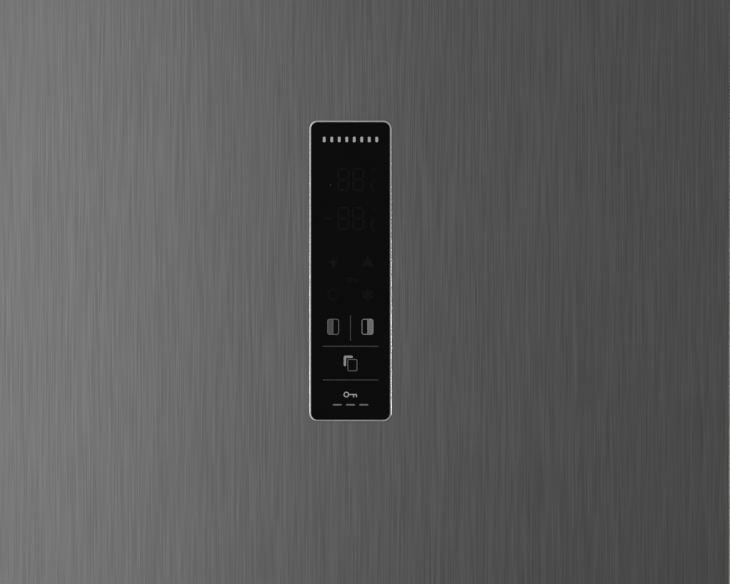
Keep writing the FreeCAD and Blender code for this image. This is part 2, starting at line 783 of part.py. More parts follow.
def front_frame():
    """Painted steel strips on the cabinet front: the mullion and the beam under the doors."""
    half = WIDTH / 2 - FRONT_FLANGE
    y0, y1 = Y_CABINET, Y_CABINET + SHEET
    beam_top = OPENING_BOTTOM - FRAME_OVERLAP
    beam = box(-half, half, y0, y1, FLOOR_GAP, beam_top)
    strip_top = CABINET_TOP - FRONT_FLANGE
    strip = box(-MULLION_STRIP / 2, MULLION_STRIP / 2, y0, y1, FLOOR_GAP, strip_top)
    return fuse(beam, strip).cut(holes(bottom_hinge_screws()))


# Compartments

def cavity(half, grow):
    """Inside of a compartment with its step over the machine room, grown by the liner for the outer face."""
    slant = math.tan(math.pi / 8) * STEP_FOAM
    floor_plan = [
        (Y_CABINET - LINER_ROUND, OPENING_BOTTOM), (Y_STEP, OPENING_BOTTOM),
        (Y_STEP, ROOM_TOP - ROOM_SLOPE + slant), (Y_ROOM + ROOM_SLOPE - slant, STEP_TOP),
        (Y_LINER_BACK, STEP_TOP), (Y_LINER_BACK, OPENING_TOP), (Y_CABINET - LINER_ROUND, OPENING_TOP),
    ]
    points = grown(floor_plan, grow)
    front = points[0][0]
    solid = prism_x(points, half.x(half.a_in - grow), half.x(half.a_out + grow))
    return fillet(solid, LINER_ROUND + grow, lambda e: not on_plane(e, "y", front))


def liner_block(half):
    """Liner with its compartment filled in, as the insulation meets it."""
    in_front = box(-WIDTH, WIDTH, Y_CABINET - DEPTH, Y_CABINET, 0, CABINET_TOP)
    flange = box(
        half.x(MULLION_STRIP / 2), half.x(WIDTH / 2 - FRONT_FLANGE), Y_CABINET, Y_CABINET + LINER,
        OPENING_BOTTOM - FRAME_OVERLAP, CABINET_TOP - FRONT_FLANGE,
    )
    return fuse(cavity(half, LINER).cut(in_front), flange)


def ledges(half):
    """Moulded ribs on both side walls: under each shelf, and under each drawer's flanges."""
    shelf_edges = half.a_in + LEDGE_WIDTH, half.a_out - LEDGE_WIDTH
    places = [(z, half.y_duct, shelf_edges) for z in half.shelves]
    inner, outer = half.drawer_sides()
    drawer_edges = inner + FLANGE_HOLD, outer - FLANGE_HOLD
    for floor, top, rear in half.drawers():
        places.append((top - DRAWER_FLANGE - RUN_CLEARANCE, rear, drawer_edges))
    ribs = []
    for z, rear, (inner_edge, outer_edge) in places:
        for wall, edge in ((half.a_in - LINER / 2, inner_edge), (half.a_out + LINER / 2, outer_edge)):
            rib = box(
                half.x(wall), half.x(edge),
                Y_SHELF + LEDGE_START, rear - LEDGE_END_GAP, z - LEDGE_HEIGHT, z,
            )
            ribs.append(fillet(rib, LEDGE_ROUND, lambda e: on_plane(e, "y", Y_SHELF + LEDGE_START)))
    return ribs


def liner(half):
    return fuse(liner_block(half).cut(cavity(half, 0)), *ledges(half))


def cabinet_foam():
    """Insulation that fills the space between the outer panels and the liners."""
    block = inside_panels().cut(prism_x(grown(room_outline(), PAN_SHEET), -WIDTH, WIDTH))
    block = block.cut(box(-WIDTH, WIDTH, Y_FRONT, Y_BACK, 0, PAN_TOP))
    bosses = [foot_boss(sign, FOOT_BOSS_RADIUS) for sign in (-1, 1)]
    screw_places = holes(top_hinge_screws(), bottom_hinge_screws(), board_cover_screws())
    return block.cut([liner_block(FREEZER), liner_block(FRIDGE), board_pocket()] + bosses + screw_places)


def shelf_glass(half):
    back = half.y_duct - SHELF_REAR_GAP - REAR_TRIM_DEPTH / 2
    return [
        box(
            half.x(half.a_in + SHELF_SIDE_GAP), half.x(half.a_out - SHELF_SIDE_GAP),
            Y_SHELF + TRIM_DEPTH - TRIM_GRIP, back, z, z + SHELF_GLASS,
        )
        for z in half.shelves
    ]


def shelf_trims(half):
    """Front and rear edge strips that hold each glass shelf."""
    x0, x1 = half.x(half.a_in + SHELF_SIDE_GAP), half.x(half.a_out - SHELF_SIDE_GAP)
    strips = []
    for z, glass in zip(half.shelves, shelf_glass(half)):
        low = z - TRIM_FLOOR
        front = [
            (Y_SHELF, low + SHELF_GLASS + 2 * TRIM_FLOOR - TRIM_HEIGHT),
            (Y_SHELF + TRIM_DEPTH / 2, low + SHELF_GLASS + 2 * TRIM_FLOOR - TRIM_HEIGHT),
            (Y_SHELF + TRIM_DEPTH / 2, low), (Y_SHELF + TRIM_DEPTH, low),
            (Y_SHELF + TRIM_DEPTH, low + SHELF_GLASS + 2 * TRIM_FLOOR),
            (Y_SHELF, low + SHELF_GLASS + 2 * TRIM_FLOOR),
        ]
        radii = [TRIM_ROUND, TRIM_ROUND, 0, 0, 0, TRIM_ROUND]
        strips.append(prism_x(front, x0, x1, radii).cut(glass))
        end = half.y_duct - SHELF_REAR_GAP
        rear = box(x0, x1, end - REAR_TRIM_DEPTH, end, z, z + SHELF_GLASS + REAR_TRIM_RISE)
        strips.append(rear.cut(glass))
    return strips


def drawer(half, floor, top, rear):
    """Open tray that hangs by its side flanges, with a thicker front and a finger recess."""
    front = Y_SHELF
    inner, outer = half.drawer_sides()
    side = FLANGE_HOLD + DRAWER_RAIL_GAP
    x0, x1 = sorted((half.x(inner + side), half.x(outer - side)))
    tray = plate_z(x0, x1, front + DRAWER_FRONT / 2, rear, floor, top, DRAWER_ROUND)
    hollow = plate_z(
        x0 + DRAWER_WALL, x1 - DRAWER_WALL, front + DRAWER_FRONT, rear - DRAWER_WALL,
        floor + DRAWER_WALL, top + DRAWER_WALL, DRAWER_ROUND - DRAWER_WALL,
    )
    w0, w1 = sorted((half.x(inner), half.x(outer)))
    flanges = [
        box(w0, x0 + DRAWER_WALL, front + DRAWER_FRONT, rear - DRAWER_ROUND, top - DRAWER_FLANGE, top),
        box(x1 - DRAWER_WALL, w1, front + DRAWER_FRONT, rear - DRAWER_ROUND, top - DRAWER_FLANGE, top),
    ]
    face = plate_y(w0, w1, floor, top, front, front + DRAWER_FRONT, DRAWER_ROUND)
    face = fillet(face, DRAWER_FRONT_ROUND, lambda e: on_plane(e, "y", front))
    middle = (w0 + w1) / 2
    pull_top = top - PULL_DROP
    pull = plate_y(
        middle - PULL_WIDTH / 2, middle + PULL_WIDTH / 2, pull_top - PULL_HEIGHT, pull_top,
        front - THROUGH, front + PULL_DEPTH, PULL_HEIGHT / 2,
    )
    return fuse(tray.cut(hollow), face, *flanges).cut(pull).cut(hollow)


# Air ducts, evaporator, fans and lamps

def vents(half, y0, y1):
    """Air slots in a duct cover, in two columns above every shelf over the drawers."""
    slots = []
    for z in half.shelves[1:]:
        for row in range(VENT_ROWS):
            low = z + VENT_RISE + row * VENT_PITCH
            for way in (-1, 1):
                middle = half.x(half.a_middle) + way * VENT_SPREAD
                slots.append(slot_y(middle, low + VENT_HEIGHT / 2, VENT_WIDTH, VENT_HEIGHT, y0, y1))
    return slots


def freezer_duct_cover():
    """Moulded wall in front of the evaporator, with air slots and the opening for the fan."""
    half = FREEZER
    x0, x1 = sorted((half.x(half.a_in + DUCT_SIDE_GAP), half.x(half.a_out - DUCT_SIDE_GAP)))
    rear = Y_LINER_BACK - LINER_ROUND - DUCT_SIDE_GAP
    low = STEP_TOP + LINER_ROUND + DUCT_SIDE_GAP
    shell = plate_y(x0, x1, low, DUCT_TOP, half.y_duct, rear)
    hollow = plate_y(
        x0 + DUCT_WALL, x1 - DUCT_WALL, low - THROUGH, DUCT_TOP - DUCT_WALL,
        half.y_duct + DUCT_WALL, rear + THROUGH,
    )
    fan = cylinder(
        half.x(half.a_middle), half.y_duct - THROUGH, FAN_HEIGHT, FAN_HOLE, V(0, DUCT_WALL + 2 * THROUGH, 0),
    )
    keep_off = plate_y(
        half.x(half.a_middle) - FAN_HOLE - DUCT_WALL, half.x(half.a_middle) + FAN_HOLE + DUCT_WALL,
        FAN_HEIGHT - FAN_HOLE - DUCT_WALL, FAN_HEIGHT + FAN_HOLE + DUCT_WALL, half.y_duct, rear,
    )
    slots = [s for s in vents(half, half.y_duct, half.y_duct + DUCT_WALL) if s.common(keep_off).Volume < TINY]
    return shell.cut([hollow, fan] + slots)


def fridge_duct_cover():
    """Shallow air channel on the rear wall of the refrigerator compartment."""
    half = FRIDGE
    middle = half.x(half.a_middle)
    x0, x1 = middle - FRIDGE_DUCT_HALF, middle + FRIDGE_DUCT_HALF
    low, front = half.shelves[1] + SHELF_GLASS + VENT_PITCH, half.y_duct
    shell = plate_y(x0, x1, low, DUCT_TOP, front, Y_LINER_BACK, DUCT_ROUND)
    shell = fillet(shell, DUCT_EDGE_ROUND, lambda e: on_plane(e, "y", front))
    hollow = plate_y(
        x0 + DUCT_WALL, x1 - DUCT_WALL, low + DUCT_WALL, DUCT_TOP - DUCT_WALL,
        front + DUCT_WALL, Y_LINER_BACK + THROUGH, DUCT_ROUND - DUCT_WALL,
    )
    return shell.cut([hollow] + vents(half, front, front + DUCT_WALL))


def evaporator():
    """Finned coil: two columns of tube that pass through a stack of plates."""
    middle = FREEZER.x(FREEZER.a_middle)
    y1 = Y_LINER_BACK - SEAT_CLEARANCE
    y0 = y1 - EVAPORATOR_DEPTH
    low = STEP_TOP + EVAPORATOR_RISE
    pitch = EVAPORATOR_HEIGHT / COIL_ROWS
    step = (EVAPORATOR_WIDTH - pitch) / (EVAPORATOR_FINS - 1)
    first = middle - EVAPORATOR_WIDTH / 2 + pitch / 2
    fins = [
        box(x - FIN_SHEET / 2, x + FIN_SHEET / 2, y0, y1, low, low + EVAPORATOR_HEIGHT)
        for x in (first + i * step for i in range(EVAPORATOR_FINS))
    ]
    coils = []
    for y in ((y0 + y1 - COIL_LAYER_GAP) / 2, (y0 + y1 + COIL_LAYER_GAP) / 2):
        points = []
        for row in range(COIL_ROWS):
            z = low + (row + 0.5) * pitch
            ends = (middle - EVAPORATOR_WIDTH / 2, middle + EVAPORATOR_WIDTH / 2)
            points += [(x, y, z) for x in (ends if row % 2 == 0 else ends[::-1])]
        coils.append(tube(points, COIL_RADIUS, (pitch - TURN_STRAIGHT) / 2))
    return fuse(coils[0], coils[1], *fins)


def rotor(tip_radius):
    """Axial fan about the Z axis: a hub with twisted blades, centred on the origin."""
    hub = Part.makeCylinder(HUB_RADIUS, HUB_DEPTH, V(0, 0, -HUB_DEPTH / 2))
    blades = []
    for i in range(BLADES):
        root = blade_section(HUB_RADIUS - BLADE_SHEET, BLADE_ROOT_CHORD, BLADE_ROOT_PITCH)
        tip = blade_section(tip_radius, tip_radius * BLADE_TIP_SHARE, BLADE_TIP_PITCH)
        blade = Part.makeLoft([root, tip], True, True)
        blade.rotate(V(0, 0, 0), V(0, 0, 1), 360 * i / BLADES)
        blades.append(blade)
    bore = Part.makeCylinder(
        SHAFT_RADIUS + SHAFT_CLEARANCE, HUB_DEPTH + 2 * THROUGH, V(0, 0, -HUB_DEPTH / 2 - THROUGH),
    )
    return fuse(hub, *blades).cut(bore)


def blade_section(radius, chord, pitch_deg):
    """Closed outline of a blade at one radius, pitched about the X axis."""
    c, s = math.cos(math.radians(pitch_deg)), math.sin(math.radians(pitch_deg))
    points = []
    for along, across in ((-1, -1), (1, -1), (1, 1), (-1, 1)):
        u, w = along * chord / 2, across * BLADE_SHEET / 2
        points.append(V(radius, u * c - w * s, u * s + w * c))
    return Part.makePolygon(points + points[:1])


def freezer_fan_centre():
    return V(FREEZER.x(FREEZER.a_middle), FREEZER.y_duct + DUCT_WALL + HUB_DEPTH / 2 + MOTOR_GAP, FAN_HEIGHT)


def room_fan_centre():
    return V(X_SHROUD + SHROUD_SHEET + HUB_DEPTH / 2 + MOTOR_GAP, Y_ROOM_MIDDLE, (PAN_TOP + ROOM_TOP) / 2)


def evaporator_fan():
    fan = rotor(FREEZER_ROTOR)
    fan.rotate(V(0, 0, 0), V(1, 0, 0), -90)
    fan.translate(freezer_fan_centre())
    return fan


def condenser_fan():
    fan = rotor(ROOM_ROTOR)
    fan.rotate(V(0, 0, 0), V(0, 1, 0), 90)
    fan.translate(room_fan_centre())
    return fan


def motor(reach, arm_back, shaft_back):
    """Fan motor about the Z axis, its shaft towards -Z, with arms and posts that end at z = -arm_back."""
    back = HUB_DEPTH / 2 + MOTOR_GAP
    can = Part.makeCylinder(MOTOR_RADIUS, MOTOR_LENGTH, V(0, 0, back))
    can = can.makeFillet(MOTOR_ROUND, [farthest_edge(can, V(0, 0, 0))])
    shaft = Part.makeCylinder(SHAFT_RADIUS, back + shaft_back + THROUGH, V(0, 0, -shaft_back))
    arms = []
    for i in range(MOTOR_ARMS):
        arm = box(0, reach + ARM_SIZE, -ARM_SIZE / 2, ARM_SIZE / 2, back + ARM_SIZE, back + 2 * ARM_SIZE)
        post = box(reach, reach + ARM_SIZE, -ARM_SIZE / 2, ARM_SIZE / 2, -arm_back, back + 2 * ARM_SIZE)
        whole = fuse(arm, post)
        whole.rotate(V(0, 0, 0), V(0, 0, 1), 90 + 360 * i / MOTOR_ARMS)
        arms.append(whole)
    return fuse(can, shaft, *arms)


def evaporator_fan_motor():
    centre = freezer_fan_centre()
    shape = motor(FAN_HOLE + ARM_SIZE, centre.y - FREEZER.y_duct - DUCT_WALL, HUB_DEPTH / 2)
    shape.rotate(V(0, 0, 0), V(1, 0, 0), -90)
    shape.translate(centre)
    return shape


def condenser_fan_motor():
    """Motor in a square shroud that stands on the pan."""
    centre = room_fan_centre()
    arm_back = centre.x - X_SHROUD - SHROUD_SHEET
    shape = motor(ROOM_ROTOR + SHROUD_MARGIN, arm_back, HUB_DEPTH / 2)
    shape.rotate(V(0, 0, 0), V(0, 1, 0), 90)
    shape.translate(centre)
    half = ROOM_ROTOR + SHROUD_MARGIN + ARM_SIZE + SHROUD_RIM / 2
    x0, x1 = X_SHROUD, X_SHROUD + SHROUD_SHEET
    y0, y1, top = centre.y - half, centre.y + half, centre.z + half
    outline = [
        (y0, PAN_TOP), (y1, PAN_TOP), (y1, top), (y0 + SHROUD_CORNER, top), (y0, top - SHROUD_CORNER),
    ]
    wall = prism_x(outline, x0, x1)
    foot = box(x0, x1 + SHROUD_RIM, y0, y1, PAN_TOP, PAN_TOP + SHROUD_SHEET)
    hole_radius = ROOM_ROTOR + SHROUD_MARGIN / 2
    hole = cylinder(x0 - THROUGH, centre.y, centre.z, hole_radius, V(SHROUD_SHEET + 2 * THROUGH, 0, 0))
    return fuse(fuse(wall, foot).cut(hole), shape)


def lamp_lens(half):
    """Rounded light cover on the ceiling of a compartment."""
    middle = half.x(half.a_middle)
    y = Y_CABINET + LAMP_SETBACK
    low = OPENING_TOP - LAMP_DROP
    lens = plate_z(
        middle - LAMP_LENGTH / 2, middle + LAMP_LENGTH / 2, y - LAMP_WIDTH / 2, y + LAMP_WIDTH / 2,
        low, OPENING_TOP, LAMP_ROUND,
    )
    return fillet(lens, LAMP_EDGE_ROUND, lambda e: on_plane(e, "z", low))


# Machine room

def compressor():
    """Sealed can with a seam, on a steel plate, with its terminal box and three tube stubs."""
    base = PAN_TOP + GROMMET_HEIGHT
    x, y = X_COMPRESSOR, Y_ROOM_MIDDLE
    r = COMPRESSOR_RADIUS
    seam = base + COMPRESSOR_SEAM_HEIGHT
    lower = cylinder(x, y, base, r, V(0, 0, seam - base))
    lower = lower.makeFillet(COMPRESSOR_FOOT_ROUND, [e for e in lower.Edges if on_plane(e, "z", base)])
    top = base + COMPRESSOR_HEIGHT
    upper = cylinder(x, y, seam, r - COMPRESSOR_SEAM / 2, V(0, 0, top - seam))
    upper = upper.makeFillet(COMPRESSOR_DOME_ROUND, [e for e in upper.Edges if on_plane(e, "z", top)])
    band = cylinder(x, y, seam - COMPRESSOR_SEAM, r + COMPRESSOR_SEAM, V(0, 0, COMPRESSOR_BAND))
    width, depth = COMPRESSOR_PLATE
    plate = plate_z(
        x - width / 2, x + width / 2, y - depth / 2, y + depth / 2,
        base, base + COMPRESSOR_PLATE_SHEET, GROMMET_INSET,
    )
    bx, by, bz = TERMINAL_BOX
    terminal = box(x + r - bx / 2, x + r + bx, y - by / 2, y + by / 2, seam - bz / 2, seam + bz / 2)
    stubs = [cylinder(*start, STUB_RADIUS, along) for start, along in compressor_stubs()]
    return fuse(lower, upper, band, plate, terminal, *stubs)


def compressor_stubs():
    """Start and run of the discharge and the suction stub."""
    x, y = X_COMPRESSOR, Y_ROOM_MIDDLE
    base = PAN_TOP + GROMMET_HEIGHT
    reach = COMPRESSOR_RADIUS + STUB_REACH
    return (
        ((x, y + COMPRESSOR_RADIUS / 2, base + HOT_STUB_HEIGHT), V(-reach, 0, 0)),
        ((x, y, base + COLD_STUB_HEIGHT), V(-reach, 0, 0)),
    )


def compressor_grommets():
    width, depth = COMPRESSOR_PLATE
    places = [
        (X_COMPRESSOR + sx * (width / 2 - GROMMET_INSET), Y_ROOM_MIDDLE + sy * (depth / 2 - GROMMET_INSET))
        for sx in (-1, 1) for sy in (-1, 1)
    ]
    waist, rim = GROMMET_WAIST, GROMMET_RIM
    low, high = PAN_TOP, PAN_TOP + GROMMET_HEIGHT
    profile = [
        (0, low), (GROMMET_RADIUS, low), (GROMMET_RADIUS, low + rim), (waist, low + rim),
        (waist, high - rim), (GROMMET_RADIUS, high - rim), (GROMMET_RADIUS, high), (0, high),
    ]
    return [revolve_z(profile, x, y) for x, y in places]


def condenser_route():
    """Centre line of the condenser: up one layer and down the other."""
    x0, x1 = X_CONDENSER
    near, far = Y_ROOM_MIDDLE - CONDENSER_LAYERS / 2, Y_ROOM_MIDDLE + CONDENSER_LAYERS / 2
    heights = [PAN_TOP + CONDENSER_RISE + i * CONDENSER_PITCH for i in range(CONDENSER_PASSES)]
    points = []
    for i, z in enumerate(heights):
        points += [(x, near, z) for x in ((x1, x0) if i % 2 == 0 else (x0, x1))]
    for i, z in enumerate(heights[::-1]):
        points += [(x, far, z) for x in ((x1, x0) if i % 2 == 0 else (x0, x1))]
    return points


def condenser_coil():
    """Serpentine tube in two layers, held by two upright plates on the pan."""
    route = condenser_route()
    coil = tube(route, CONDENSER_RADIUS, (CONDENSER_PITCH - TURN_STRAIGHT) / 2)
    top = PAN_TOP + CONDENSER_RISE + (CONDENSER_PASSES - 0.5) * CONDENSER_PITCH
    depth = CONDENSER_LAYERS / 2 + CONDENSER_PITCH / 2
    plates = [
        box(x, x + CONDENSER_PLATE, Y_ROOM_MIDDLE - depth, Y_ROOM_MIDDLE + depth, PAN_TOP, top)
        for x in (X_CONDENSER[0] + CONDENSER_PLATE_INSET, X_CONDENSER[1] - CONDENSER_PLATE_INSET)
    ]
    return fuse(coil, *plates)


def refrigerant_tubes():
    """Hot gas tube, drier with its outlet, and suction tube."""
    (hot_start, hot_run), (cold_start, cold_run) = compressor_stubs()
    hot = V(*hot_start) + hot_run
    cold = V(*cold_start) + cold_run
    route = condenser_route()
    inlet, outlet = route[-1], route[0]
    low = PAN_TOP + GAS_RISE
    behind = Y_BACK - SHEET - PAN_SHEET - TUBE_CLEARANCE - CONDENSER_RADIUS
    beside = inlet[0] + GAS_SIDE
    gas = tube([
        tuple(hot), (hot.x - TUBE_RUN, hot.y, hot.z), (hot.x - TUBE_RUN, behind, hot.z),
        (hot.x - TUBE_RUN, behind, low), (beside, behind, low), (beside, behind, inlet[2]),
        (beside, inlet[1], inlet[2]), inlet,
    ], CONDENSER_RADIUS, GAS_BEND)
    drier = cylinder(outlet[0], outlet[1], outlet[2], DRIER_RADIUS, V(DRIER_LENGTH, 0, 0))
    drier_end = (outlet[0] + DRIER_LENGTH, outlet[1], outlet[2])
    wall_y = Y_ROOM
    liquid = tube([
        drier_end, (drier_end[0] + TUBE_RUN, outlet[1], outlet[2]),
        (drier_end[0] + TUBE_RUN, wall_y, outlet[2]),
    ], LIQUID_RADIUS, LIQUID_BEND)
    suction = tube([
        tuple(cold), (cold.x - TUBE_RUN, cold.y, cold.z), (cold.x - TUBE_RUN, wall_y, cold.z),
    ], STUB_RADIUS, TUBE_BEND)
    return [gas, fuse(drier, liquid), suction]


def drain_pan():
    """Tray under the condenser where the melt water dries off."""
    x0 = X_CONDENSER[0] + CONDENSER_PLATE_INSET + CONDENSER_PLATE + TRAY_GAP
    x1 = X_CONDENSER[1] - CONDENSER_PLATE_INSET - TRAY_GAP
    y0, y1 = Y_ROOM + TRAY_GAP, Y_BACK - SHEET - TRAY_REAR_GAP
    tray = plate_z(x0, x1, y0, y1, PAN_TOP, PAN_TOP + TRAY_HEIGHT, TRAY_ROUND)
    hollow = plate_z(
        x0 + TRAY_WALL, x1 - TRAY_WALL, y0 + TRAY_WALL, y1 - TRAY_WALL,
        PAN_TOP + TRAY_WALL, PAN_TOP + TRAY_HEIGHT + THROUGH, TRAY_ROUND - TRAY_WALL,
    )
    return tray.cut(hollow)


def machine_cover():
    """Slotted rear plate of the machine room, with the bush where a mains lead would enter."""
    half = WIDTH / 2 - SHEET - COVER_EDGE_GAP
    sheet = plate_y(-half, half, FLOOR_GAP, ROOM_TOP, Y_BACK - SHEET, Y_BACK)
    columns, rows = COVER_SLOT_GRID
    z_middle = (PAN_TOP + PAN_LIP + ROOM_TOP) / 2
    slots = []
    for i in range(columns):
        for k in range(rows):
            x = (i - (columns - 1) / 2) * COVER_SLOT_PITCH[0]
            z = z_middle + (k - (rows - 1) / 2) * COVER_SLOT_PITCH[1]
            slots.append(slot_y(x, z, *COVER_SLOT, Y_BACK - SHEET, Y_BACK))
    z_gland = PAN_TOP + PAN_LIP + GLAND_RADIUS
    gland = cylinder(X_GLAND, Y_BACK - SHEET, z_gland, GLAND_RADIUS, V(0, SHEET + GLAND_PROUD, 0))
    hole = cylinder(X_GLAND, Y_BACK, z_gland, GLAND_HOLE, V(0, GLAND_PROUD + THROUGH, 0))
    return fuse(sheet.cut(slots + holes(machine_cover_screws())), gland).cut(hole)


def main_board_cover():
    """Flat cover on the back panel, with standoffs for the board."""
    half_width, half_height = BOARD_COVER[0] / 2, BOARD_COVER[1] / 2
    plate = plate_y(
        -half_width, half_width, BOARD_COVER_CENTRE - half_height, BOARD_COVER_CENTRE + half_height,
        Y_BACK, Y_BACK + BOARD_COVER_SHEET, BOARD_COVER_ROUND,
    )
    posts = [
        cylinder(x, Y_BACK - BOARD_STANDOFF, z, BOARD_STANDOFF_RADIUS, V(0, BOARD_STANDOFF, 0))
        for x, z in main_board_posts()
    ]
    return fuse(plate, *posts).cut(holes(board_cover_screws()))


def main_board_half():
    margin = BOARD_POCKET_MARGIN + SCREW_INSET + MAIN_BOARD_GAP
    return BOARD_COVER[0] / 2 - margin, BOARD_COVER[1] / 2 - margin


def main_board_posts():
    half_width, half_height = main_board_half()
    inset = BOARD_STANDOFF_INSET
    return [
        (sx * (half_width - inset), BOARD_COVER_CENTRE + sz * (half_height - inset))
        for sx in (-1, 1) for sz in (-1, 1)
    ]


def main_board():
    """Circuit board with its larger components, which face the insulation."""
    half_width, half_height = main_board_half()
    y1 = Y_BACK - BOARD_STANDOFF
    y0 = y1 - BOARD_THICKNESS
    z = BOARD_COVER_CENTRE
    board = plate_y(-half_width, half_width, z - half_height, z + half_height, y0, y1)
    left = TRANSFORMER_INSET - half_width
    transformer = box(left, left + TRANSFORMER[0], y0 - PART_REACH, y0, z - TRANSFORMER[1], z)
    relay_low = z + half_height - RELAY_DROP
    relays = [
        box(x, x + RELAY[0], y0 - RELAY_REACH, y0, relay_low, relay_low + RELAY[1])
        for x in (left + i * RELAY_PITCH for i in range(RELAY_COUNT))
    ]
    capacitors = [
        cylinder(x, y0 - CAPACITOR_REACH, z + dz, CAPACITOR_RADIUS, V(0, CAPACITOR_REACH, 0))
        for x, dz in CAPACITOR_PLACES
    ]
    right = half_width - CONNECTOR_INSET
    connector = box(right - CONNECTOR[0], right, y0 - CONNECTOR_REACH, y0, z, z + CONNECTOR[1])
    return fuse(board, transformer, connector, *relays, *capacitors)


def kick_plate():
    """Slotted channel under the doors."""
    half = WIDTH / 2 - KICK_SIDE_GAP
    y0, y1 = Y_CABINET - KICK_DEPTH, Y_CABINET
    inner = y0 + KICK_WALL
    low, high = KICK_BOTTOM + KICK_WALL, KICK_TOP - KICK_WALL
    profile = [
        (y0, KICK_BOTTOM), (y1, KICK_BOTTOM), (y1, low), (inner, low),
        (inner, high), (y1, high), (y1, KICK_TOP), (y0, KICK_TOP),
    ]
    inside = KICK_ROUND - KICK_WALL
    radii = [KICK_ROUND, 0, 0, inside, inside, 0, 0, KICK_ROUND]
    channel = prism_x(profile, -half, half, radii)
    middle = (KICK_BOTTOM + KICK_TOP) / 2
    count = int((2 * half - 2 * FOOT_INSET) / KICK_SLOT_PITCH)
    slots = []
    for i in range(count):
        x = (i - (count - 1) / 2) * KICK_SLOT_PITCH
        slots.append(slot_y(x, middle, *KICK_SLOT, y0, inner))
    return channel.cut(slots)


# Feet, rollers and hinges

def foot(sign):
    """Levelling foot: a pad, a hexagon to turn it by and its screw."""
    x, y = sign * (WIDTH / 2 - FOOT_INSET), Y_CABINET + FOOT_SETBACK
    pad = cylinder(x, y, 0, FOOT_PAD_RADIUS, V(0, 0, FOOT_PAD_HEIGHT))
    pad = pad.makeFillet(FOOT_PAD_ROUND, [farthest_edge(pad, V(x, y, 0))])
    hexagon = [
        (x + FOOT_NUT_RADIUS * math.cos(math.pi * i / 3), y + FOOT_NUT_RADIUS * math.sin(math.pi * i / 3))
        for i in range(6)
    ]
    nut = prism_z(hexagon, FOOT_PAD_HEIGHT, FOOT_PAD_HEIGHT + FOOT_NUT_HEIGHT)
    screw_part = cylinder(x, y, FOOT_PAD_HEIGHT, FOOT_SCREW_RADIUS, V(0, 0, FOOT_SCREW_TOP - FOOT_PAD_HEIGHT))
    return fuse(pad, nut, screw_part)


def roller(sign):
    x, y = roller_place(sign)
    start = x - ROLLER_WIDTH / 2
    wheel = cylinder(start, y, ROLLER_RADIUS, ROLLER_RADIUS, V(ROLLER_WIDTH, 0, 0))
    rims = [e for e in wheel.Edges if isinstance(e.Curve, Part.Circle)]
    wheel = wheel.makeChamfer(ROLLER_CHAMFER, rims)
    rim_radius = ROLLER_RADIUS - ROLLER_RIM
    dishes = []
    for at in (start, start + ROLLER_WIDTH - ROLLER_DISH):
        ring = cylinder(at, y, ROLLER_RADIUS, rim_radius, V(ROLLER_DISH, 0, 0))
        dishes.append(ring.cut(cylinder(at, y, ROLLER_RADIUS, ROLLER_HUB_RADIUS, V(ROLLER_DISH, 0, 0))))
    along = V(ROLLER_WIDTH + 2 * THROUGH, 0, 0)
    bore = cylinder(start - THROUGH, y, ROLLER_RADIUS, AXLE_RADIUS + AXLE_CLEARANCE, along)
    return wheel.cut(dishes + [bore])


def top_hinge(sign):
    """Plate on the cabinet top whose tongue carries the door's upper pin."""
    a, y = A_HINGE, Y_HINGE
    inner, outer, arm = sign * (a - HINGE_TONGUE), sign * (a + HINGE_TONGUE), sign * (a - HINGE_ARM)
    seat_front = Y_CABINET + SCREW_INSET
    seat_back = seat_front + HINGE_SEAT
    points = [
        (inner, y - HINGE_TONGUE), (outer, y - HINGE_TONGUE), (outer, seat_back),
        (arm, seat_back), (arm, seat_front), (inner, seat_front),
    ]
    radii = [TONGUE_ROUND, TONGUE_ROUND, SCREW_INSET, SCREW_INSET, SCREW_INSET, 0]
    plate = prism_z(points, CABINET_TOP, CABINET_TOP + HINGE_PLATE, radii)
    top = CABINET_TOP + HINGE_PLATE
    pin_end = DOOR_TOP - PIN_ENGAGEMENT
    pin = cylinder(sign * a, y, pin_end, PIN_RADIUS, V(0, 0, top - pin_end))
    head = cylinder(sign * a, y, top, PIN_HEAD_RADIUS, V(0, 0, HINGE_PLATE))
    return fuse(plate, pin, head).cut(holes(top_hinge_screws()))


def bottom_hinge(sign):
    """Angle on the front beam whose plate carries the door on a collar and a pin."""
    a, y = A_HINGE, Y_HINGE
    high = DOOR_BOTTOM - BOTTOM_COLLAR
    low = high - BOTTOM_PLATE
    inner, outer, arm = sign * (a - HINGE_TONGUE), sign * (a + HINGE_TONGUE), sign * (a - HINGE_ARM)
    points = [
        (inner, y - HINGE_TONGUE), (outer, y - HINGE_TONGUE), (outer, Y_CABINET),
        (arm, Y_CABINET), (arm, Y_CABINET - SCREW_INSET),
    ]
    radii = [TONGUE_ROUND, TONGUE_ROUND, 0, 0, 0]
    plate = prism_z(points, low, high, radii)
    flange = box(
        sign * (a - HINGE_ARM), sign * (a + HINGE_TONGUE), Y_CABINET - HINGE_PLATE, Y_CABINET,
        low - BOTTOM_FLANGE, high,
    )
    collar = cylinder(sign * a, y, high, COLLAR_RADIUS, V(0, 0, BOTTOM_COLLAR - SEAT_CLEARANCE))
    pin = cylinder(sign * a, y, low, PIN_RADIUS, V(0, 0, BOTTOM_PLATE + BOTTOM_COLLAR + PIN_ENGAGEMENT))
    return fuse(plate, flange, collar, pin).cut(holes(bottom_hinge_screws()))


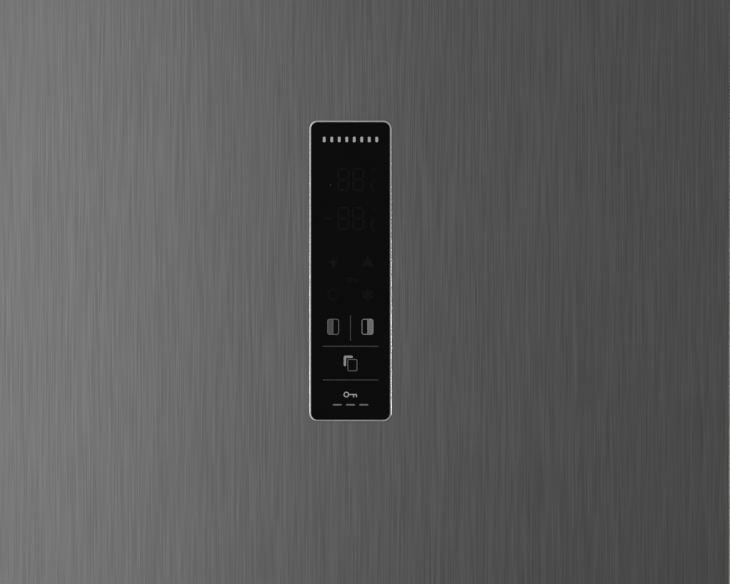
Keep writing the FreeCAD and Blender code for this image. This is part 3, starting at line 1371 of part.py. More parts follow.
def hinge_cover(sign):
    """Hollow moulded cover over a top hinge."""
    outer = WIDTH / 2 - COVER_SIDE_GAP
    x0, x1 = sorted((sign * outer, sign * (outer - COVER_WIDTH)))
    y0, y1 = Y_HINGE - HINGE_TONGUE - COVER_WALL - SEAT_CLEARANCE, Y_CABINET + COVER_REACH
    top = CABINET_TOP + COVER_HEIGHT
    shell = plate_z(x0, x1, y0, y1, CABINET_TOP, top, COVER_ROUND)
    shell = fillet(shell, COVER_TOP_ROUND, lambda e: on_plane(e, "z", top))
    inner_top = top - COVER_WALL
    hollow = plate_z(
        x0 + COVER_WALL, x1 - COVER_WALL, y0 + COVER_WALL, y1 - COVER_WALL,
        CABINET_TOP - THROUGH, inner_top, COVER_ROUND - COVER_WALL,
    )
    hollow = fillet(hollow, COVER_TOP_ROUND - COVER_WALL, lambda e: on_plane(e, "z", inner_top))
    return shell.cut(hollow)


# Doors

def door_skin(half):
    """Steel sheet over the front, the outer edge and the grip lip of a door."""
    a0, a1 = CHANNEL_HALF, WIDTH / 2
    outside = rectangle(half.x(a0), half.x(a1), Y_SKIN, Y_DOOR_BACK - LINER)
    inside = rectangle(half.x(a0 + SKIN), half.x(a1 - SKIN), Y_SKIN + SKIN, Y_DOOR_BACK)
    outer_radii = [LIP_ROUND, SKIN_EDGE_ROUND, 0, 0]
    inner_radii = [LIP_ROUND - SKIN, SKIN_EDGE_ROUND - SKIN, 0, 0]
    sheet = prism_z(outside, DOOR_BOTTOM, DOOR_TOP, outer_radii)
    sheet = sheet.cut(prism_z(inside, DOOR_BOTTOM, DOOR_TOP, inner_radii))
    behind_lip = box(half.x(a0), half.x(a0 + SKIN), Y_LIP, Y_DOOR_BACK, DOOR_BOTTOM, DOOR_TOP)
    return sheet.cut(behind_lip)


def door_handle(half):
    """Grip channel moulding along the meeting edge of a door."""
    deep = CHANNEL_HALF + GRIP_DEPTH
    recess = rectangle(half.x(0), half.x(deep), Y_LIP, Y_GRIP_BACK)
    jacket = rectangle(half.x(0), half.x(deep + GRIP_WALL), Y_LIP - GRIP_WALL, Y_GRIP_BACK + GRIP_WALL)
    round_in, round_out = GRIP_ROUND, GRIP_ROUND + GRIP_WALL
    shell = prism_z(jacket, DOOR_BOTTOM, DOOR_TOP, [0, round_out, round_out, 0])
    shell = shell.cut(prism_z(recess, DOOR_BOTTOM, DOOR_TOP, [0, round_in, round_in, 0]))
    in_lip = box(half.x(0), half.x(CHANNEL_HALF + SKIN), Y_SKIN, Y_LIP + TINY, DOOR_BOTTOM, DOOR_TOP)
    in_gap = box(half.x(0), half.x(DOOR_GAP / 2), Y_SKIN, Y_DOOR_BACK, DOOR_BOTTOM, DOOR_TOP)
    edge = box(
        half.x(DOOR_GAP / 2), half.x(DOOR_GAP / 2 + GRIP_WALL), Y_GRIP_BACK, Y_DOOR_BACK - LINER,
        DOOR_BOTTOM, DOOR_TOP,
    )
    return fuse(shell.cut([in_lip, in_gap]), edge)


def door_block(half):
    """Everything inside the skin, the grip and the inner liner of a door."""
    deep = CHANNEL_HALF + GRIP_DEPTH + GRIP_WALL
    edge = DOOR_GAP / 2 + GRIP_WALL
    inner_lip = Y_LIP - GRIP_WALL
    points = [
        (half.x(CHANNEL_HALF + SKIN), Y_SKIN + SKIN), (half.x(WIDTH / 2 - SKIN), Y_SKIN + SKIN),
        (half.x(WIDTH / 2 - SKIN), Y_DOOR_BACK - LINER), (half.x(edge), Y_DOOR_BACK - LINER),
        (half.x(edge), Y_GRIP_BACK + GRIP_WALL), (half.x(deep), Y_GRIP_BACK + GRIP_WALL),
        (half.x(deep), inner_lip), (half.x(CHANNEL_HALF + SKIN), inner_lip),
    ]
    radii = [
        LIP_ROUND - SKIN, SKIN_EDGE_ROUND - SKIN, 0, 0,
        0, GRIP_ROUND + GRIP_WALL, GRIP_ROUND + GRIP_WALL, 0,
    ]
    return prism_z(points, DOOR_BOTTOM, DOOR_TOP, radii)


def dike(half, inset):
    """Raised rim on the inside of a door; the inset leaves the liner's wall round its filling."""
    a0, a1 = half.a_in + DIKE_MULLION_GAP, half.a_out - DIKE_SIDE_GAP
    x0, x1 = sorted((half.x(a0 + inset), half.x(a1 - inset)))
    z0, z1 = OPENING_BOTTOM + DIKE_END_GAP + inset, OPENING_TOP - DIKE_END_GAP - inset
    crest = Y_DOOR_BACK + DIKE_HEIGHT - inset
    root = Y_DOOR_BACK - LINER
    ring = ring_y(x0, x1, z0, z1, DIKE_WIDTH - 2 * inset, root, crest, DIKE_WIDTH + DIKE_ROUND - inset)
    return fillet(ring, DIKE_ROUND - inset, lambda e: on_plane(e, "y", crest))


def dike_inner(half):
    """Distances from the centre line of the rim's inner faces."""
    return half.a_in + DIKE_MULLION_GAP + DIKE_WIDTH, half.a_out - DIKE_SIDE_GAP - DIKE_WIDTH


def door_liner(half):
    """Moulded inner face of a door with its rim and the lugs that carry the bins."""
    sheet = box(
        half.x(DOOR_GAP / 2), half.x(WIDTH / 2), Y_DOOR_BACK - LINER, Y_DOOR_BACK, DOOR_BOTTOM, DOOR_TOP,
    )
    shell = fuse(sheet, dike(half, 0)).cut(dike(half, LINER))
    low_a, high_a = dike_inner(half)
    lugs = []
    for floor in half.bins:
        top = floor + LUG_RISE
        for wall, way in ((low_a, 1), (high_a, -1)):
            lugs.append(box(
                half.x(wall - way * LINER / 2), half.x(wall + way * LUG_WIDTH),
                Y_DOOR_BACK + LUG_INSET, Y_DOOR_BACK + DIKE_HEIGHT - DIKE_ROUND, top - LUG_HEIGHT, top,
            ))
    return fuse(shell, *lugs)


def door_gasket(half):
    """Magnetic seal: a foot in the liner's groove, a bellows neck and the sealing head."""
    x0, x1 = sorted((half.x(DOOR_GAP / 2 + GASKET_MULLION_INSET), half.x(WIDTH / 2 - GASKET_SIDE_INSET)))
    z0, z1 = DOOR_BOTTOM + GASKET_SIDE_INSET, DOOR_TOP - GASKET_SIDE_INSET
    y_neck = Y_DOOR_BACK + GASKET_FOOT
    y_head = y_neck + GASKET_NECK
    layers = []
    for inset, y0, y1 in (
        (GASKET_FOOT_INSET, Y_DOOR_BACK, y_neck),
        (GASKET_NECK_INSET, y_neck, y_head),
        (0, y_head, Y_CABINET - GASKET_CLEARANCE),
    ):
        layers.append(
            ring_y(x0 + inset, x1 - inset, z0 + inset, z1 - inset, GASKET_WIDTH - 2 * inset, y0, y1)
        )
    return fuse(*layers)


def door_bin(half, floor):
    """Open tray that hangs on the door's lugs by two ears."""
    low_a, high_a = dike_inner(half)
    side = LUG_WIDTH + BIN_SIDE_GAP
    x0, x1 = sorted((half.x(low_a + side), half.x(high_a - side)))
    y0, y1 = Y_DOOR_BACK + BIN_BACK_GAP, Y_DOOR_BACK + BIN_DEPTH
    top = floor + BIN_HEIGHT
    radii = [BIN_WALL, BIN_WALL, BIN_ROUND, BIN_ROUND]
    body = prism_z(rectangle(x0, x1, y0, y1), floor, top, radii)
    body = fillet(body, BIN_WALL, lambda e: on_plane(e, "z", floor))
    hollow = prism_z(
        rectangle(x0 + BIN_WALL, x1 - BIN_WALL, y0 + BIN_WALL, y1 - BIN_WALL), floor + BIN_FLOOR,
        top + THROUGH, [0, 0, BIN_ROUND - BIN_WALL, BIN_ROUND - BIN_WALL],
    )
    rail = box(
        x0 + BIN_ROUND, x1 - BIN_ROUND, y1 - BIN_WALL, y1 + BIN_RAIL_PROUD, top - BIN_RAIL, top,
    )
    rail = fillet(rail, BIN_RAIL_ROUND, lambda e: on_plane(e, "y", y1 + BIN_RAIL_PROUD))
    reach = side - EAR_GAP
    ear_low = floor + LUG_RISE
    ears = [
        box(outer, outer + way * (reach + BIN_WALL / 2), Y_DOOR_BACK + LUG_INSET,
            Y_DOOR_BACK + DIKE_HEIGHT - DIKE_ROUND, ear_low, ear_low + EAR_HEIGHT)
        for outer, way in ((x0 - reach, 1), (x1 + reach, -1))
    ]
    return fuse(body.cut(hollow), rail, *ears)


def door_caps(half):
    """Moulded ends of a door, bored for the hinge pins."""
    block = door_block(half)
    bottom = box(-WIDTH, WIDTH, Y_FRONT, Y_CABINET, DOOR_BOTTOM, DOOR_BOTTOM + CAP_HEIGHT)
    top = box(-WIDTH, WIDTH, Y_FRONT, Y_CABINET, DOOR_TOP - CAP_HEIGHT, DOOR_TOP)
    depth = PIN_ENGAGEMENT + SEAT_CLEARANCE
    radius = PIN_RADIUS + PIN_CLEARANCE
    x = half.x(A_HINGE)
    lower_bore = cylinder(x, Y_HINGE, DOOR_BOTTOM, radius, V(0, 0, depth))
    upper_bore = cylinder(x, Y_HINGE, DOOR_TOP - depth, radius, V(0, 0, depth))
    return [block.common(bottom).cut(lower_bore), block.common(top).cut(upper_bore)]


def door_foam(half):
    """Insulation of a door, which also fills the rim of its liner."""
    middle = box(-WIDTH, WIDTH, Y_FRONT, Y_CABINET, DOOR_BOTTOM + CAP_HEIGHT, DOOR_TOP - CAP_HEIGHT)
    return fuse(door_block(half).common(middle), dike(half, LINER))


# Touch panel

def panel_plate(inset, y0, y1):
    """Rounded outline of the touch panel, drawn in by the inset."""
    x, z = FREEZER.x(A_PANEL), PANEL_CENTRE_HEIGHT
    half_width, half_height = PANEL_WIDTH / 2 - inset, PANEL_HEIGHT / 2 - inset
    return plate_y(
        x - half_width, x + half_width, z - half_height, z + half_height, y0, y1, PANEL_ROUND - inset,
    )


def panel_cutout():
    """Window in the door skin that the bezel's neck passes through."""
    return panel_plate(BEZEL_COVER, Y_SKIN - THROUGH, Y_SKIN + SKIN + THROUGH)


def panel_bezel():
    """Bright metal frame: a face on the skin, a neck through it and a ledge behind the glass."""
    face = panel_plate(0, Y_FRONT, Y_SKIN)
    face = fillet(face, BEZEL_ROUND, lambda e: on_plane(e, "y", Y_FRONT))
    neck = panel_plate(BEZEL_COVER + BEZEL_CLEARANCE, Y_SKIN, Y_SKIN + BEZEL_DEPTH)
    glass_space = panel_plate(BEZEL_FACE, Y_FRONT - THROUGH, GLASS_BACK)
    opening = panel_plate(BEZEL_FACE + BEZEL_SEAT, Y_FRONT - THROUGH, Y_SKIN + BEZEL_DEPTH + THROUGH)
    return fuse(face, neck).cut([glass_space, opening])


def panel_glass():
    glass = panel_plate(BEZEL_FACE + BEZEL_CLEARANCE, GLASS_FRONT, GLASS_BACK)
    return fillet(glass, GLASS_EDGE, lambda e: on_plane(e, "y", GLASS_FRONT))


def housing_block():
    return panel_plate(-HOUSING_MARGIN, Y_SKIN + SKIN, Y_SKIN + SKIN + HOUSING_DEPTH)


def board_plane():
    """Front face of the panel's circuit board."""
    return GLASS_BACK + DISPLAY_GAP + DISPLAY_DEPTH


def panel_posts(radius, y0, y1):
    x, z = FREEZER.x(A_PANEL), PANEL_CENTRE_HEIGHT
    half_width = PANEL_WIDTH / 2 - POST_INSET
    half_height = PANEL_HEIGHT / 2 - POST_INSET
    return [
        cylinder(x + sx * half_width, y0, z + sz * half_height, radius, V(0, y1 - y0, 0))
        for sx in (-1, 1) for sz in (-1, 1)
    ]


def panel_housing():
    """Tray in the door's insulation that holds the panel's electronics on four posts."""
    back = Y_SKIN + SKIN + HOUSING_DEPTH
    hollow = panel_plate(HOUSING_WALL - HOUSING_MARGIN, Y_SKIN, back - HOUSING_WALL)
    posts = panel_posts(POST_RADIUS, board_plane() + BOARD_THICKNESS, back - HOUSING_WALL / 2)
    return fuse(housing_block().cut(hollow), *posts)


def panel_board():
    """Circuit board with the display block against the glass."""
    plane = board_plane()
    board = panel_plate(BOARD_MARGIN, plane, plane + BOARD_THICKNESS)
    x, z = FREEZER.x(A_PANEL), PANEL_CENTRE_HEIGHT + DISPLAY_RISE
    display = plate_y(
        x - DISPLAY_WIDTH / 2, x + DISPLAY_WIDTH / 2, z - DISPLAY_HEIGHT / 2, z + DISPLAY_HEIGHT / 2,
        plane - DISPLAY_DEPTH, plane,
    )
    return fuse(board, display)


def save_cabinet():
    save("left_side_panel", side_panel(-1))
    save("right_side_panel", side_panel(1))
    save("top_panel", top_panel())
    save("back_panel", back_panel())
    save("base_pan", base_pan())
    save("front_frame", front_frame())
    save("cabinet_foam", cabinet_foam())
    save("freezer_duct_cover", freezer_duct_cover())
    save("fridge_duct_cover", fridge_duct_cover())
    for half in (FREEZER, FRIDGE):
        save(half.name + "_liner", liner(half))
        save(half.name + "_shelf_glass", *shelf_glass(half))
        save(half.name + "_shelf_trims", *shelf_trims(half))
    save("lamp_lenses", lamp_lens(FREEZER), lamp_lens(FRIDGE))
    save("kick_plate", kick_plate())
    save("machine_cover", machine_cover())
    save("main_board_cover", main_board_cover())
    save("main_board", main_board())
    save("top_hinges", top_hinge(-1), top_hinge(1))
    save("bottom_hinges", bottom_hinge(-1), bottom_hinge(1))
    save("hinge_covers", hinge_cover(-1), hinge_cover(1))
    places = machine_cover_screws() + board_cover_screws() + top_hinge_screws() + bottom_hinge_screws()
    save("screws", *[screw(*place) for place in places])


def save_cooling():
    save("evaporator", evaporator())
    save("evaporator_fan", evaporator_fan())
    save("evaporator_fan_motor", evaporator_fan_motor())
    save("compressor", compressor())
    save("compressor_grommets", *compressor_grommets())
    save("condenser_coil", condenser_coil())
    save("condenser_fan", condenser_fan())
    save("condenser_fan_motor", condenser_fan_motor())
    save("refrigerant_tubes", *refrigerant_tubes())
    save("drain_pan", drain_pan())


def save_feet_and_drawers():
    for side, sign in (("left", -1), ("right", 1)):
        save(side + "_foot", foot(sign))
        save(side + "_roller", roller(sign))
    for half, name in ((FREEZER, "freezer_drawer"), (FRIDGE, "crisper")):
        for place, sizes in zip(("lower", "upper"), half.drawers()):
            save(name + "_" + place, drawer(half, *sizes))


def save_doors():
    for half in (FREEZER, FRIDGE):
        skin, foam = door_skin(half), door_foam(half)
        if half is FREEZER:
            skin = skin.cut(panel_cutout())
            foam = foam.cut(housing_block())
        name = half.name + "_door_"
        save(name + "skin", skin)
        save(name + "foam", foam)
        save(name + "liner", door_liner(half))
        save(name + "gasket", door_gasket(half))
        save(name + "caps", *door_caps(half))
        save(name + "handle", door_handle(half))
        save(name + "bins", *[door_bin(half, floor) for floor in half.bins])
    save("control_panel_bezel", panel_bezel())
    save("control_panel_glass", panel_glass())
    save("control_panel_housing", panel_housing())
    save("control_panel_board", panel_board())


def main():
    os.makedirs("parts", exist_ok=True)
    save_cabinet()
    save_cooling()
    save_feet_and_drawers()
    save_doors()


if __name__ == "__main__":
    main()
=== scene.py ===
"""Looks of a side-by-side refrigerator: finishes, panel print, screw recesses, light and camera.

Metres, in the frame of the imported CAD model: +X to the right of someone who faces the doors, +Y to the
back, +Z up.
"""

import json
import math

import bmesh
import bpy
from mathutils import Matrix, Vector


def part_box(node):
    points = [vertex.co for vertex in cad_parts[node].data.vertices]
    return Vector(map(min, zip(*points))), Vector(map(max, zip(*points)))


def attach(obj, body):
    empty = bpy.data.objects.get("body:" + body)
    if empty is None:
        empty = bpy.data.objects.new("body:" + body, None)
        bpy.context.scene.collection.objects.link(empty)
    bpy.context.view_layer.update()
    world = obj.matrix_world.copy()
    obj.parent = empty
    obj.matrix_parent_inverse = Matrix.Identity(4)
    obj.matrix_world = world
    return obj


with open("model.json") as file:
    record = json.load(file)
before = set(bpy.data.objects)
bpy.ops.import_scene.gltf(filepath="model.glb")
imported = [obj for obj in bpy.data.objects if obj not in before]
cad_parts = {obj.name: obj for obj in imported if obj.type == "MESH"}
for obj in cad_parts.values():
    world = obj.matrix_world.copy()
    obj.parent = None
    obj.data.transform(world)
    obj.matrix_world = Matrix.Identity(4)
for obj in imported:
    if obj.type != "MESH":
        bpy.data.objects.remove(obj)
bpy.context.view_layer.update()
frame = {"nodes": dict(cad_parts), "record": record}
MM = 0.001

# Camera: square on to the door, with the panel left of and above the middle of the picture
PICTURE_WIDTH = 0.4079  # part of the door's plane that fills the picture
PANEL_LEFT_OF_MIDDLE = 0.0081
PANEL_ABOVE_MIDDLE = 0.01176
LENS = 100.0
SENSOR = 36.0

# Surroundings
AMBIENT = 0.54  # strength that lights matt surfaces
BACKDROP = 0.93  # strength that is seen and mirrored
FLOOR_SIZE = 60.0
FLOOR_SHADE = 0.78
FLOOR_SWING = 0.015
FLOOR_DROP = 0.0004  # keeps the floor clear of the feet's undersides

# Lamps: places in metres, sizes as width and height, spreads and angles in degrees
AIM = (-0.23, -0.34)  # X and Y that the lamp and the cards point at
LAMP_PLACE = (-0.765, -2.01, 1.2)
LAMP_SIZE = (0.45, 1.6)
LAMP_POWER = 5.6
LAMP_SPREAD = 120
CARD_ASIDE = 1.27
CARD_FRONT = -1.0
CARD_HEIGHT = 0.97
CARD_AIM_HEIGHT = 1.05
CARD_SIZE = (0.25, 0.7)
CARD_SPREAD = 40
CARDS = (("card_left", -1, 0.44), ("card_right", 1, 0.7))  # name, side and power
SUNS = (("sky_front", (-0.7, -0.6, 1.0)), ("sky_back", (0.7, 0.8, 1.0)))  # name and where it stands
SUN_STRENGTH = 0.6
SUN_ANGLE = 40

# Shades of the pieces in the picture, and brush marks per metre along X, Y and Z
STEEL_SHADES = (0.0566, 0.0766)
BRUSH_FINE = (3000.0, 3000.0, 30.0)
BRUSH_LONG = (420.0, 420.0, 7.0)
BRUSH_LONG_SHARE = 0.12
BEZEL_SHADES = (0.29, 0.34)
GLASS_SHADES = (0.0016, 0.003)
# Painted shadow in the gaps round and inside the panel's metal frame
GAP_SHADOW_SHADE = 0.0008
# Painted shadow in the screws' cross recesses
SCREW_SHADOW_SHADE = 0.02
INKS = {
    "panel_display_unlit": 0.0042,
    "panel_print_dim": 0.039,
    "panel_print_soft": 0.0495,
    "panel_print_grey": 0.107,
    "panel_print_pale": 0.186,
    "panel_print_bright": 0.287,
}

# Range of a pattern that carries nearly all of its variation
PATTERN_START = 0.25
PATTERN_END = 0.75

# Panel print, in millimetres from the middle of the panel
PANEL_ROUND = 4.8
PRINT_THICKNESS = 0.05
DIGIT_WIDTH = 6.65
DIGIT_HEIGHT = 12.85
DIGIT_STROKE = 0.9
DIGIT_GAP = 0.42  # from a corner of the digit to the ends of its segments
DIGIT_CENTRES = (-3.95, 4.3)
UPPER_READING = 51.1
LOWER_READING = 29.3
UNIT_CENTRE = 12.9
UNIT_REACH = (1.1, 1.2)  # to the left and right of its centre
UNIT_STROKE = 0.7
DEGREE_RING = (1.05, 0.7)  # outer and inner radius
DEGREE_RISE = 0.4  # above the middle of the reading, as a share of the digits' height
READING_DOT = (-11.1, 48.0)
READING_DOT_RADIUS = 0.3
MINUS = (-13.9, -10.6)
PLANT_NECK = (-9.55, 4.4)
PLANT_LOBES = ((90, 3.3, 1.0), (153, 2.8, 1.3), (33, 2.8, 0.9), (270, 2.5, 2.4))  # degrees, reach, width
LEAF_FOOT = (9.6, 4.1)
LEAF_LOBES = (
    (90, 4.4, 1.5), (144, 3.4, 1.4), (36, 3.4, 1.4), (201, 3.7, 1.8), (339, 3.7, 1.8), (270, 1.8, 0.9),
)
LOBE_CORE = 0.45  # least radius where the lobes meet
HEXAGON_CENTRE = (-9.72, -13.1)
HEXAGON_RADII = (3.45, 2.8)
FLAKE_CENTRE = (9.6, -13.2)
FLAKE_RADIUS = 3.3
FLAKE_STROKE = 0.85
FLAKE_FORK = (1.75, 1.15, 0.32)  # place along the arm, length and half width
FLAKE_FORK_TURN = 50  # degrees
FAINT_KEY_BOW = (-0.8, -4.85)
FAINT_KEY_RADIUS = 1.4
FAINT_KEY_LENGTH = 4.5
FAINT_KEY_STROKE = 0.6
DOOR_SYMBOL_CENTRES = {-1: -9.68, 1: 9.5}
DOOR_SYMBOL_HEIGHT = -31.2
DOOR_SYMBOL = (6.45, 8.75)
DOOR_SYMBOL_ROUND = 1.2
OUTLINE = 0.31
LINE_HALF = 15.35
LINE_HEIGHTS = (-42.1, -60.9)
LINE_WIDTH = 0.43
DIVIDER = (-24.95, -38.85)
MODE_CENTRE = (1.06, -52.64)
MODE_FRONT = (5.45, 6.65)
MODE_ROUND = 0.9
MODE_REAR = (-4.83, 5.3)  # upper left corner of the rear card, from the middle of the front one
MODE_REAR_REACH = (5.05, 5.85)
MODE_REAR_BAND = 1.27
KEY_BOW = (-2.33, -69.06)
KEY_RADIUS = 1.5
KEY_LENGTH = 5.65
KEY_STROKE = 0.44
KEY_TEETH = (0.72, 1.0)  # places along the shaft, as shares of the key's length
GAUGE_HEIGHT = 73.5
GAUGE_HALF = 15.4
GAUGE_BARS = 8
GAUGE_BAR = (1.45, 2.9)
HOLD_HEIGHT = -74.8
HOLD_HALF = 9.8
HOLD_BARS = 3
HOLD_BAR = (4.8, 0.75)
BAR_ROUND = 0.3  # corner of a bar, as a share of its short side
SEAM_OUTSIDE = 0.14  # width of the painted shadow in the gap round the metal frame
# Width of the painted shadow along the glass's rim inside the metal frame
SEAM_INSIDE = 0.5

# Screws, in millimetres
SCREW_SPAN = 11.5  # more than the longest way across one screw, less than from screw to screw
RECESS_REACH = 2.1
RECESS_HALF = 0.42


def put(node, **values):
    """Plain values on a node's sockets; _ stands for a space in a socket's name."""
    for name, value in values.items():
        node.inputs[name.replace("_", " ")].default_value = value


class Look:
    """A material of nodes round one Principled shader, patterned in the object's own metres."""

    def __init__(self, name, metallic=0.0, roughness=0.5, specular=0.5):
        self.material = bpy.data.materials.new(name)
        self.material.use_nodes = True
        self.tree = self.material.node_tree
        self.shader = self.tree.nodes["Principled BSDF"]
        put(self.shader, Metallic=metallic, Roughness=roughness, Specular_IOR_Level=specular)
        self.place = self.node("TexCoord").outputs["Object"]

    def node(self, kind, **values):
        node = self.tree.nodes.new("ShaderNode" + kind)
        put(node, **values)
        return node

    def link(self, source, target):
        self.tree.links.new(source, target)

    def stretched(self, per_metre):
        node = self.node("Mapping", Scale=per_metre)
        self.link(self.place, node.inputs["Vector"])
        return node.outputs["Vector"]

    def noise(self, per_metre, detail=2.0):
        """Soft random pattern, with a number of features per metre along X, Y and Z."""
        node = self.node("TexNoise", Scale=1.0, Detail=detail)
        self.link(self.stretched(per_metre), node.inputs["Vector"])
        return node.outputs["Fac"]

    def cells(self, per_metre, output, feature="F1"):
        """Random cells: each cell's own colour, or the distance from its middle or edge."""
        node = self.node("TexVoronoi", Scale=1.0)
        node.feature = feature
        self.link(self.stretched(per_metre), node.inputs["Vector"])
        return node.outputs[output]

    def mixed(self, first, second, share):
        """Weighted sum of two patterns: share of the second, the rest of the first."""
        node = self.node("Mix", Factor=share)
        self.link(first, node.inputs["A"])
        self.link(second, node.inputs["B"])
        return node.outputs["Result"]

    def colours(self, pattern, dark, light, start=PATTERN_START, end=PATTERN_END):
        """Base colour that runs from dark to light between two levels of the pattern."""
        node = self.node("ValToRGB")
        for element, level, colour in zip(node.color_ramp.elements, (start, end), (dark, light)):
            element.position = level
            element.color = (*colour, 1.0)
        self.link(pattern, node.inputs["Fac"])
        self.link(node.outputs["Color"], self.shader.inputs["Base Color"])

    def roughness(self, pattern, low, high):
        """Roughness that runs from low to high over the pattern's range."""
        node = self.node("MapRange", From_Min=PATTERN_START, From_Max=PATTERN_END, To_Min=low, To_Max=high)
        self.link(pattern, node.inputs["Value"])
        self.link(node.outputs["Result"], self.shader.inputs["Roughness"])

    def bump(self, pattern, depth, strength=1.0):
        """Relief of the pattern; depth is in metres."""
        node = self.node("Bump", Distance=depth, Strength=strength)
        self.link(pattern, node.inputs["Height"])
        self.link(node.outputs["Normal"], self.shader.inputs["Normal"])


def even(per_metre):
    """As many features per metre in every direction."""
    return (per_metre, per_metre, per_metre)


def grey(shade, tint=(1.0, 1.0, 1.0)):
    return tuple(shade * t for t in tint)


def swing(shade, share, tint=(1.0, 1.0, 1.0)):
    """Dark and light grey, by a share below and above the shade."""
    return grey(shade * (1 - share), tint), grey(shade * (1 + share), tint)


# Finishes

def brushed_steel():
    """Dark steel with short upright brush marks."""
    look = Look("brushed_steel", metallic=1.0, roughness=0.38)
    fine = look.noise(BRUSH_FINE, detail=0.0)
    long = look.noise(BRUSH_LONG)
    marks = look.mixed(fine, long, BRUSH_LONG_SHARE)
    dark, light = STEEL_SHADES
    look.colours(marks, grey(dark), grey(light), start=0.3, end=0.7)
    look.roughness(marks, low=0.37, high=0.39)
    look.bump(marks, depth=0.000004, strength=0.2)
    return look.material


def painted(name, shade, tint, roughness, peel=0.000012):
    """Powder-coated steel with a fine orange-peel grain."""
    look = Look(name, roughness=roughness, specular=0.45)
    grain = look.noise(even(900.0), detail=3.0)
    clouds = look.noise(even(4.0), detail=3.0)
    look.colours(look.mixed(grain, clouds, share=0.35), *swing(shade, 0.1, tint))
    look.roughness(grain, low=roughness - 0.06, high=roughness + 0.06)
    look.bump(grain, depth=peel)
    return look.material


def zinc_plated():
    """Zinc on steel: faint crystal cells of differing brightness."""
    look = Look("zinc_plated", metallic=1.0, roughness=0.42)
    crystals = look.cells(even(90.0), "Color")
    speckle = look.noise(even(700.0))
    both = look.mixed(crystals, speckle, share=0.5)
    look.colours(both, dark=grey(0.42), light=grey(0.56, (1.0, 1.0, 0.97)))
    look.roughness(both, low=0.34, high=0.5)
    return look.material


def rigid_foam():
    """Cream foam with fine cells."""
    look = Look("rigid_foam", roughness=0.95, specular=0.2)
    cells = look.cells(even(900.0), "Distance")
    look.colours(cells, dark=(0.62, 0.52, 0.3), light=(0.78, 0.7, 0.46), start=0.0, end=0.8)
    look.bump(cells, depth=0.0004)
    return look.material


def moulded(name, dark, light, roughness, grain_per_metre=1400.0, relief=0.00002):
    """Injection-moulded plastic: fine spark-eroded grain and slow flow clouds."""
    look = Look(name, roughness=roughness)
    grain = look.noise(even(grain_per_metre))
    flow = look.noise((7.0, 7.0, 3.0))
    both = look.mixed(grain, flow, share=0.5)
    look.colours(both, dark, light)
    look.roughness(both, low=roughness - 0.08, high=roughness + 0.08)
    look.bump(grain, depth=relief)
    return look.material


def see_through(name, dark, light, smooth, cloudy, frost, transmission):
    """Clear glass or plastic with faint smears in its gloss."""
    look = Look(name, roughness=smooth)
    put(look.shader, IOR=1.5, Transmission_Weight=transmission)
    smears = look.noise(even(26.0), detail=4.0)
    look.colours(smears, dark, light)
    look.roughness(smears, low=smooth, high=cloudy)
    look.bump(look.noise(even(350.0)), depth=frost)
    return look.material


def panel_glass():
    """Black printed glass that hardly mirrors the room."""
    look = Look("panel_black_glass", roughness=0.16, specular=0.012)
    smears = look.noise(even(60.0), detail=4.0)
    dust = look.noise(even(2500.0), detail=1.0)
    dark, light = GLASS_SHADES
    look.colours(look.mixed(smears, dust, share=0.6), grey(dark), grey(light))
    look.roughness(smears, low=0.12, high=0.2)
    return look.material


def polished_metal(name, dark, light, roughness):
    """Bright metal with hair-fine polishing marks."""
    look = Look(name, metallic=1.0, roughness=roughness)
    marks = look.noise((300.0, 300.0, 2400.0))
    look.colours(marks, dark, light)
    look.roughness(marks, low=roughness * 0.8, high=roughness * 1.3)
    return look.material


def copper():
    """Drawn tube with darker stains."""
    look = Look("copper_tube", metallic=1.0, roughness=0.32)
    stains = look.noise(even(55.0), detail=5.0)
    look.colours(stains, dark=(0.3, 0.12, 0.06), light=(0.72, 0.36, 0.21))
    look.roughness(stains, low=0.26, high=0.5)
    return look.material


def circuit_board():
    """Green solder mask over a net of copper tracks."""
    look = Look("circuit_board", roughness=0.4)
    tracks = look.cells(even(420.0), "Distance", feature="DISTANCE_TO_EDGE")
    look.colours(tracks, dark=(0.02, 0.12, 0.05), light=(0.008, 0.05, 0.02), start=0.02, end=0.08)
    look.bump(tracks, depth=0.00003)
    return look.material


def rubber(name, shade):
    """Matt rubber with a faint bloom."""
    look = Look(name, roughness=0.75, specular=0.35)
    bloom = look.noise(even(240.0), detail=4.0)
    look.colours(bloom, *swing(shade, 0.15))
    look.roughness(bloom, low=0.66, high=0.84)
    look.bump(bloom, depth=0.00004)
    return look.material


def ink_for_print_and_shadows(name, shade):
    """Matt flat colour with a fine screen grain, for print, and for the painted shadows in the gaps and the
    screws' recesses.
    """
    look = Look(name, roughness=0.7, specular=0.02)
    screen = look.noise(even(3600.0), detail=1.0)
    look.colours(screen, *swing(shade, 0.14))
    return look.material


